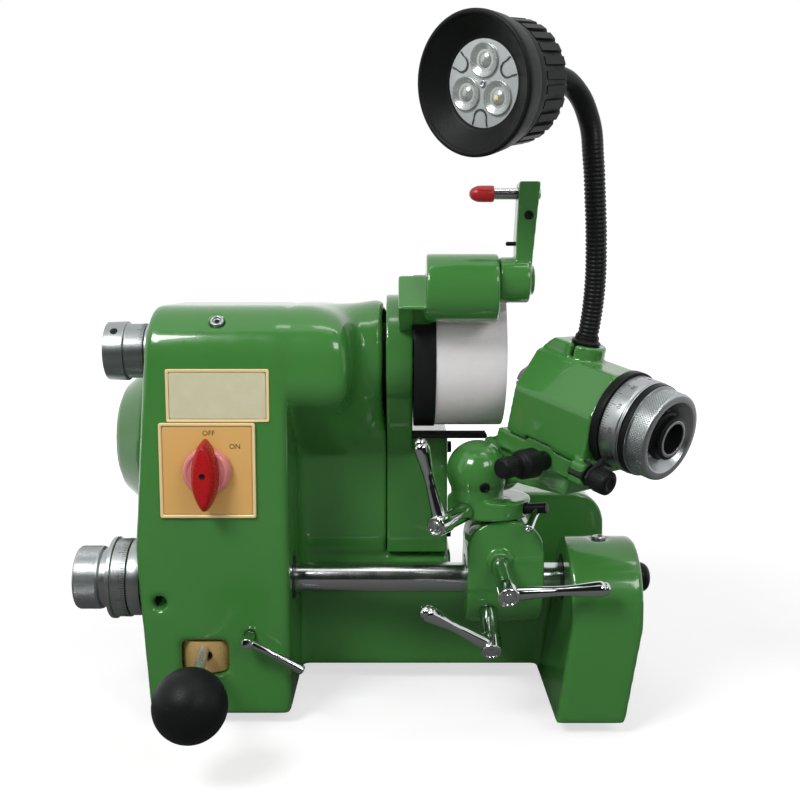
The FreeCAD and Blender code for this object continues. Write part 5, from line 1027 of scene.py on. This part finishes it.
assemble("plunger_knob", [
    turned(black_plastic, [
        (low, 0), (low, 3), (catch_front - 1, 3), (catch_front - 1, 6.2), (catch_front + 1.2, 7.2),
        (catch_front + 9.5, 7.4), (high - 1.2, 7.2), (high, 5.4), (high, 3.4), (high - 1, 2.6), (high - 1, 0),
    ], plunger_zero, head_way, 56, 0.7),
    ring(brick(0.7, 0.9, 7.5, 0.6), black_plastic, seat(on_plunger(catch_front + 5.6, 0, 0), head_way),
         22, 7.2),
    lofted(blackened, catch_rings),
], "index_plunger", ["index_plunger"])

# %% [markdown]
# The lamp hose is a wound steel tube in a black sleeve: smooth near the lamp, ribbed near the stem, and
# thicker where a rubber boot meets the lamp. It follows a rule, so Geometry Nodes makes it: the path is
# resampled and the radius of each ring is worked out from how far along it lies.

# %% Hose tree
hose_tree, hose_sockets, port, given = shape_tree("wound_hose", [
    ("Geometry", SOLID), ("Radius", FLOAT), ("Rib", FLOAT), ("Pitch", FLOAT), ("Ribbed", FLOAT),
    ("Boot", FLOAT), ("Boot Length", FLOAT), ("Finish", FINISH)])
calc = partial(sum_node, hose_tree)
sample_step, fade_length = 0.00035, 0.03
even = add_node(hose_tree, "GeometryNodeResampleCurve", {"Curve": port["Geometry"], "Length": sample_step},
                mode="LENGTH")
along = add_node(hose_tree, "GeometryNodeSplineParameter").outputs["Length"]
wave = calc("SINE", calc("DIVIDE", calc("MULTIPLY", along, math.pi), port["Pitch"]))
crest = calc("POWER", calc("ABSOLUTE", wave), 0.6)
fade = add_node(hose_tree, "ShaderNodeMapRange", {
    "Value": along, "From Min": port["Ribbed"], "From Max": calc("ADD", port["Ribbed"], fade_length),
    "To Min": 1, "To Max": 0.05}, interpolation_type="SMOOTHSTEP")
dip = calc("MULTIPLY", calc("SUBTRACT", 1, crest), calc("MULTIPLY", port["Rib"], fade.outputs[0]))
whole = add_node(hose_tree, "GeometryNodeSplineLength").outputs["Length"]
swell = add_node(hose_tree, "ShaderNodeMapRange", {
    "Value": calc("SUBTRACT", whole, along), "From Min": 0, "From Max": port["Boot Length"],
    "To Min": port["Boot"], "To Max": 0}, interpolation_type="SMOOTHSTEP")
size = calc("ADD", calc("SUBTRACT", port["Radius"], dip), swell.outputs[0])
outline = add_node(hose_tree, "GeometryNodeCurvePrimitiveCircle", {"Resolution": 28, "Radius": 1})
sweep = add_node(hose_tree, "GeometryNodeCurveToMesh", {
    "Curve": even.outputs[0], "Profile Curve": outline.outputs[0], "Fill Caps": True, "Scale": size})
end_tree(hose_tree, sweep.outputs[0], port["Finish"], given)

# %% Gooseneck and stem
stem_top, stem_up = (Vector(value) for value in joint_line("lamp"))
lamp_face = Vector((37.5, -164, 389))
lamp_way = Vector((-0.6607, -0.7338, -0.158)).normalized()
lamp_depth = 46
lamp_back = lamp_face - lamp_way * lamp_depth
neck_spots = [
    stem_top + stem_up * 2.2, stem_top + stem_up * 12, (117.5, -98, 282), (117, -102, 307),
    (115.5, -103, 336), (114, -103, 357), (111, -102, 380), (101, -108, 396.5), (90, -116, 400.5),
    lamp_back - lamp_way * 8, lamp_back + lamp_way * 0.5]
neck_curve = bpy.data.curves.new("neck_path", "CURVE")
neck_curve.dimensions = "3D"
neck_line = neck_curve.splines.new("BEZIER")
neck_line.bezier_points.add(len(neck_spots) - 1)
neck_line.resolution_u = 24
for point, spot in zip(neck_line.bezier_points, neck_spots):
    point.co = Vector(spot) * MM
    point.handle_left_type = "AUTO"
    point.handle_right_type = "AUTO"
hose = grown(bpy.data.objects.new("neck_path", neck_curve), hose_tree, hose_sockets, {
    "Radius": 6.4 * MM, "Rib": 0.85 * MM, "Pitch": 2.5 * MM, "Ribbed": 95 * MM, "Boot": 3.0 * MM,
    "Boot Length": 48 * MM, "Finish": hose_black})
hose.shade_smooth()
put("gooseneck_hose", hose, "lamp", ["gooseneck"])
assemble("lamp_stem_turned", [
    turned(blackened, [
        (-12, 0), (-12, 8), (0.3, 8), (0.3, 8.8), (1.6, 8.8), (2.4, 7.4), (5.2, 7.2), (5.2, 0),
    ], stem_top, stem_up, 56, 0.4),
], "lamp", ["lamp_stem"])

# %% [markdown]
# The lamp's shell is a moulded cup with cooling ribs that stand free towards the back; its bezel is a deep
# dark cone. Inside sit a grey board, three bright cups with their chips, and thin dark U-shaped lines between
# them.

# %% Lamp shell and bezel
lamp_side = lamp_way.cross(Vector(UP)).normalized() * -1
lamp_up = lamp_way.cross(lamp_side).normalized()
if lamp_up.z < 0:
    lamp_up.negate()
fin_ring, fin_count = 31, 28
fin_line = ((3.6, 29.5), (3.6, 31.6), (5.6, 33.5), (24.5, 34.0), (24.5, 31.0))
fin = small_mesh(
    "fin",
    [(out - fin_ring, side * (2.85 - 0.12 * (out - 28)), along)
     for side in (-1, 1) for along, out in fin_line],
    [(4, 3, 2, 1, 0), (5, 6, 7, 8, 9),
     *[(step, (step + 1) % 5, 5 + (step + 1) % 5, 5 + step) for step in range(5)]])
assemble("lamp_shell_ribbed", [
    turned(black_plastic, [
        (0, 9), (0, 21), (1.4, 27.5), (3, 30.8), (4.6, 32.3), (14, 32.1), (24, 32.8), (25, 33.9), (33, 34.1),
        (33, 30.5), (8, 28), (4, 20), (3, 9),
    ], lamp_back, lamp_way, 112, 0.8, True),
    ring(fin, black_plastic, seat(lamp_back, lamp_way, lamp_up), fin_count, fin_ring),
], "lamp", ["lamp_shell"], 30)
assemble("lamp_bezel_cone", [
    turned(black_plastic, [
        (-13.8, 34.3), (-12.5, 36.4), (-3, 37.8), (-0.8, 37.8), (0, 36.9), (0, 35.4), (-1.2, 34.6),
        (-10, 24.6), (-10.6, 22), (-13.2, 22), (-13.2, 30),
    ], lamp_face, lamp_way, 128, 0.7, True),
], "lamp", ["lamp_bezel"])

# %% Lamp board
board_depth, cup_ring, lit_cup = 10.4, 12.2, 318
board_place = lamp_face - lamp_way * board_depth


def round_lamp(degrees):
    """A way across the lamp's face."""
    turn = math.radians(degrees)
    return lamp_side * math.cos(turn) + lamp_up * math.sin(turn)


lamp_parts = [turned(board_grey, [(-3, 0), (-3, 23.6), (0, 23.8), (0, 0)], board_place, lamp_way, 96, 0.3)]
for degrees in (78, 198, lit_cup):
    spot = board_place + round_lamp(degrees) * cup_ring
    lamp_parts += [
        turned(cup_silver, [
            (-1, 8.9), (1.3, 9.1), (1.6, 8.6), (1.2, 8.0), (-0.4, 4.6), (-0.6, 2.6), (-1, 2.6),
        ], spot, lamp_way, 48, 0.3, True),
        turned(cup_silver, [
            (-0.5, 0), (-0.5, 4.4), (0.2, 4.2), (0.9, 3.2), (1.5, 1.8), (1.7, 0),
        ], spot, lamp_way, 36),
        turned(chip_yellow if degrees == lit_cup else board_grey, [
            (1.2, 0), (1.2, 1.7), (1.9, 1.5), (1.9, 0),
        ], spot, lamp_way, 4, 0.2)]
# Thin dark U-shaped lines lie on the board between the cups.
dark_u_line = ((21.2, 5.2), (18.6, 4.4), (16.2, 4.3), (14.2, 3.2), (13.2, 1.4), (13.0, 0))
dark_u_line += tuple((out, -aside) for out, aside in dark_u_line[-2::-1])
dark_u_wall = [*dark_u_line, *[(out + 0.9, aside * 0.9) for out, aside in dark_u_line[::-1]]]
for degrees in (18, 138, 258):
    out_way = round_lamp(degrees)
    side_way = lamp_way.cross(out_way)
    lamp_parts.append(lofted(tick_ink, [
        [board_place + lamp_way * level + out_way * out + side_way * aside for out, aside in dark_u_wall]
        for level in (-0.3, 0.6)]))
lamp_parts.append(turned(ground_steel, [
    (0, 0), (0, 2.2), (0.7, 2.0), (0.9, 1.2), (0.5, 0.8), (0.5, 0),
], board_place, lamp_way, 24, 0.2))
assemble("lamp_board_lit", lamp_parts, "lamp", ["led_module"])

# %% [markdown]
# The dresser's diamond sits in a bright rod whose end is dipped in red rubber, as new machines ship.

# %% Dresser rod and cap
assemble("diamond_rod", [
    turned(ground_steel, [
        (44, 0), (44, 3), (45, 3.5), (84.8, 3.5), (85.4, 2.9), (85.4, 0),
    ], DIAMOND, RIGHT, 40, 0.4),
], "diamond", ["diamond_holder"])
assemble("diamond_dip", [
    turned(red_rubber, [
        (42, 0), (42.2, 1.6), (43.6, 3.4), (46.5, 4.8), (49, 5), (56, 5), (57, 4.6), (57, 3.6), (46, 3.6),
        (46, 0),
    ], DIAMOND, RIGHT, 48, 1.0),
], "diamond", ["diamond_cap"])

# %% [markdown]
# The switch has a square gilt plate with a raised frame, two words and a red handle: a round skirt, drawn a
# paler pink red as a painted sheen, and a long pointed grip. The grip is lofted from rings that shrink towards
# its crest.

# %% Switch plate and words
def framed_plate(look, centre, width, tall, thick, rim, rise):
    """A plate facing the front with a raised, bevelled frame round a flat field."""
    x, y, z = centre
    rings = []
    for inset, depth in ((0, 0), (0, thick - 0.3), (0.3, thick), (rim - 0.8, thick), (rim, thick - rise)):
        w, t = width / 2 - inset, tall / 2 - inset
        ring_points = []
        radius = max(1.2 - inset * 0.3, 0.3)
        for cx, cz, start in ((w, t, 0), (-w, t, 90), (-w, -t, 180), (w, -t, 270)):
            for step in range(4):
                turn = math.radians(start + 30 * step)
                ring_points.append((x + cx - math.copysign(radius, cx) + radius * math.cos(turn), y - depth,
                                    z + cz - math.copysign(radius, cz) + radius * math.sin(turn)))
        rings.append(ring_points)
    return lofted(look, rings)


def front_word(word, x, y, z):
    upright = Matrix.Translation(Vector((x, y, z)) * MM) @ Matrix.Rotation(math.radians(90), 4, "X")
    return lettering(word, 4.5, upright, ink)


switch_x, switch_z = -120, 168
plate_low, plate_high = box_of("switch_plate")
plate_front, thick = plate_low.y, plate_high.y - plate_low.y
plate_centre = (switch_x, plate_high.y, switch_z)
word_front = plate_front + 0.5
assemble("switch_plate_gilt", [
    framed_plate(gold_edge, plate_centre, 60, 60, thick, 2.2, 0.7),
    framed_plate(gold, plate_centre, 56, 56, thick - 0.55, 0.4, 0.0),
    front_word("OFF", -118.8, word_front, 191.6),
    front_word("ON", -102.6, word_front, 183.2),
], "machine", ["switch_plate"], 25)

# %% Switch handle
skirt_back = plate_front - 0.3
half_wide, half_tall, grip_z, around = 8.6, 22.4, 166.6, 48
grip_steps = ((4, 1.0, 1.0), (9, 0.97, 0.99), (14, 0.86, 0.95), (16.6, 0.66, 0.88), (17.6, 0.42, 0.78))
grip_rings = []
for depth, wide, tall in grip_steps:
    outline_points = []
    for step in range(around):
        turn = math.tau * step / around
        rise = math.sin(turn)
        half = half_wide * wide * (1 - abs(rise) ** 2.4 * 0.35) * math.cos(turn)
        outline_points.append((switch_x + half, skirt_back - depth, grip_z + half_tall * tall * rise))
    grip_rings.append(outline_points)
assemble("switch_grip", [
    turned(red_skirt_painted_sheen, [
        # The skirt's paler pink red is a painted sheen.
        (0, 0), (0, 15.4), (1.2, 15.5), (4.6, 14.6), (6, 13.4), (6.3, 12), (5.6, 11), (5.6, 0),
    ], (switch_x, skirt_back, switch_z), FRONT, 72, 0.6),
    lofted(red_plastic, grip_rings),
    turned(blackened, [
        (0, 0), (0, 1.9), (0.5, 1.8), (0.7, 1.3), (0.4, 0.9), (0.4, 0),
    ], (switch_x, skirt_back - 17.4, switch_z), FRONT, 24, 0.2),
], "switch", ["switch_handle"], 50)

# %% [markdown]
# The printed plate above the switch is left bare: a thin gilt-edged foil under a clear film.

# %% Bare plate
name_low, name_high = box_of("nameplate")
wide, thick, tall = name_high - name_low
centre = ((name_low.x + name_high.x) / 2, name_high.y, (name_low.z + name_high.z) / 2)
assemble("bare_plate", [
    framed_plate(gold_edge, centre, wide, tall, thick, 2.0, 0.4),
    framed_plate(pale_foil, centre, wide - 3.6, tall - 3.6, thick - 0.3, 0.4, 0),
], "machine", ["nameplate"], 25)

# %% [markdown]
# Small hardware finishes the casting: oil cups with a sprung ball, grub screws, brass feet, cover screws and
# the cable inlet.

# %% Small hardware
oil_parts = []
oil_spots = corners_of("oil_caps")
crown_lean = math.radians(45)
for side, lean in ((-1, (0, -math.sin(crown_lean), math.cos(crown_lean))), (1, UP)):
    spots = oil_spots[oil_spots[:, 0] * side > 0]
    centre = middle_of(spots)
    crest = Vector(lean) * max((spots - centre) @ np.array(lean)) + Vector(centre)
    oil_parts += [
        turned(satin, [
            (-6.5, 0), (-6.5, 4.4), (-0.6, 4.4), (0, 3.8), (0, 2.9), (-1.2, 2.2), (-1.2, 0),
        ], crest, lean, 36, 0.4),
        turned(blackened, [(-2.4, 0), (-2.2, 1.2), (-1.4, 1.9), (-0.7, 1.2), (-0.5, 0)], crest, lean, 24)]
assemble("oil_cups", oil_parts, "machine", ["oil_caps"])


def set_screw(name, spot, way, radius, body):
    """A black grub screw: a chamfered end with a socket in it."""
    assemble(name, [
        turned(blackened, [
            (-5, 0), (-5, radius), (0.4, radius), (0.9, radius - 0.5), (0.9, radius * 0.62),
            (0.25, radius * 0.5), (0.25, 0),
        ], spot, way, 36, 0.2),
    ], body)


set_screw("column_grub_screw", (-157.4, -83.5, 81.8), FRONT, 4.2, "machine")
set_screw("knuckle_grub_screw", (53.3, -88.2, 156.4), (0.161, -0.91, -0.382), 3.4, "swivel")
set_screw("dresser_grub_screw", (77.4, -96.0, 324.9), FRONT, 2.8, "dresser")
set_screw("dresser_stop_pin", (65.5, -87, 308), LEFT, 1.3, "dresser")
machined("brass_feet", "foot_pads", "machine", 0.8, brass)
machined("cover_screw_heads", "cover_screws", "machine", 0.3, blackened)
machined("cable_inlet", "cable_gland", "machine", 0.5, black_plastic)

# %% [markdown]
# The motor at the back has a finned body and a cowl whose end draws air through a grille: green vanes over
# a black disc that is painted shade for the openings between them. Fins and vanes are bars in a ring, so the
# same tree lays them out.

# %% Motor fins and cowl grille
fins_x, vanes_x = -117.5, -211.7
assemble("motor_fins", [
    ring(brick(4.0, 2.2, 39, 0.7), enamel, seat((fins_x, *MOTOR[1:]), RIGHT), 30, 54.6),
], "machine", angle=30)
assemble("cowl_grille", [
    # The black disc behind the vanes is painted shade for the grille's openings.
    turned(deep_black_and_painted_shade, [(210.4, 0), (210.4, 34), (211.3, 34), (211.3, 0)], MOTOR, LEFT, 64, 0.2),
    turned(enamel, [(210.4, 32.5), (210.4, 36), (212.6, 35.6), (212.6, 33)], MOTOR, LEFT, 72, 0.6, True),
    turned(enamel, [(210.4, 0), (210.4, 9), (212.4, 8.6), (212.9, 7), (212.9, 0)], MOTOR, LEFT, 48, 0.6),
    ring(brick(26, 2.0, 1.8, 0.9), enamel, seat((vanes_x, *MOTOR[1:]), LEFT), 24, 21),
], "machine", angle=35)

# %% [markdown]
# The pieces that stay as the model made them are mostly inside. Each still gets its own metal or rubber,
# because other poses and other views uncover them.

# %% Finishes for the model's own pieces
kept = {
    enamel: ["motor_body"], rubber: ["drive_belt"], blackened: ["guide_bushes"],
    black_plastic: ["switch_body"],
    ground_steel: ["motor_rotor", "quill", "spindle_bearings", "spindle", "stop_screw", "bracket_bush",
                   "index_spindle", "collet"],
}
for look, names in kept.items():
    for name in names:
        looks = frame["nodes"][name].data.materials
        looks.clear()
        looks.append(look)
shown = [name for name, item in frame["nodes"].items() if not item.hide_render]
print("model pieces still shown:", sorted(shown))

# %% Update the scene
bpy.context.view_layer.update()
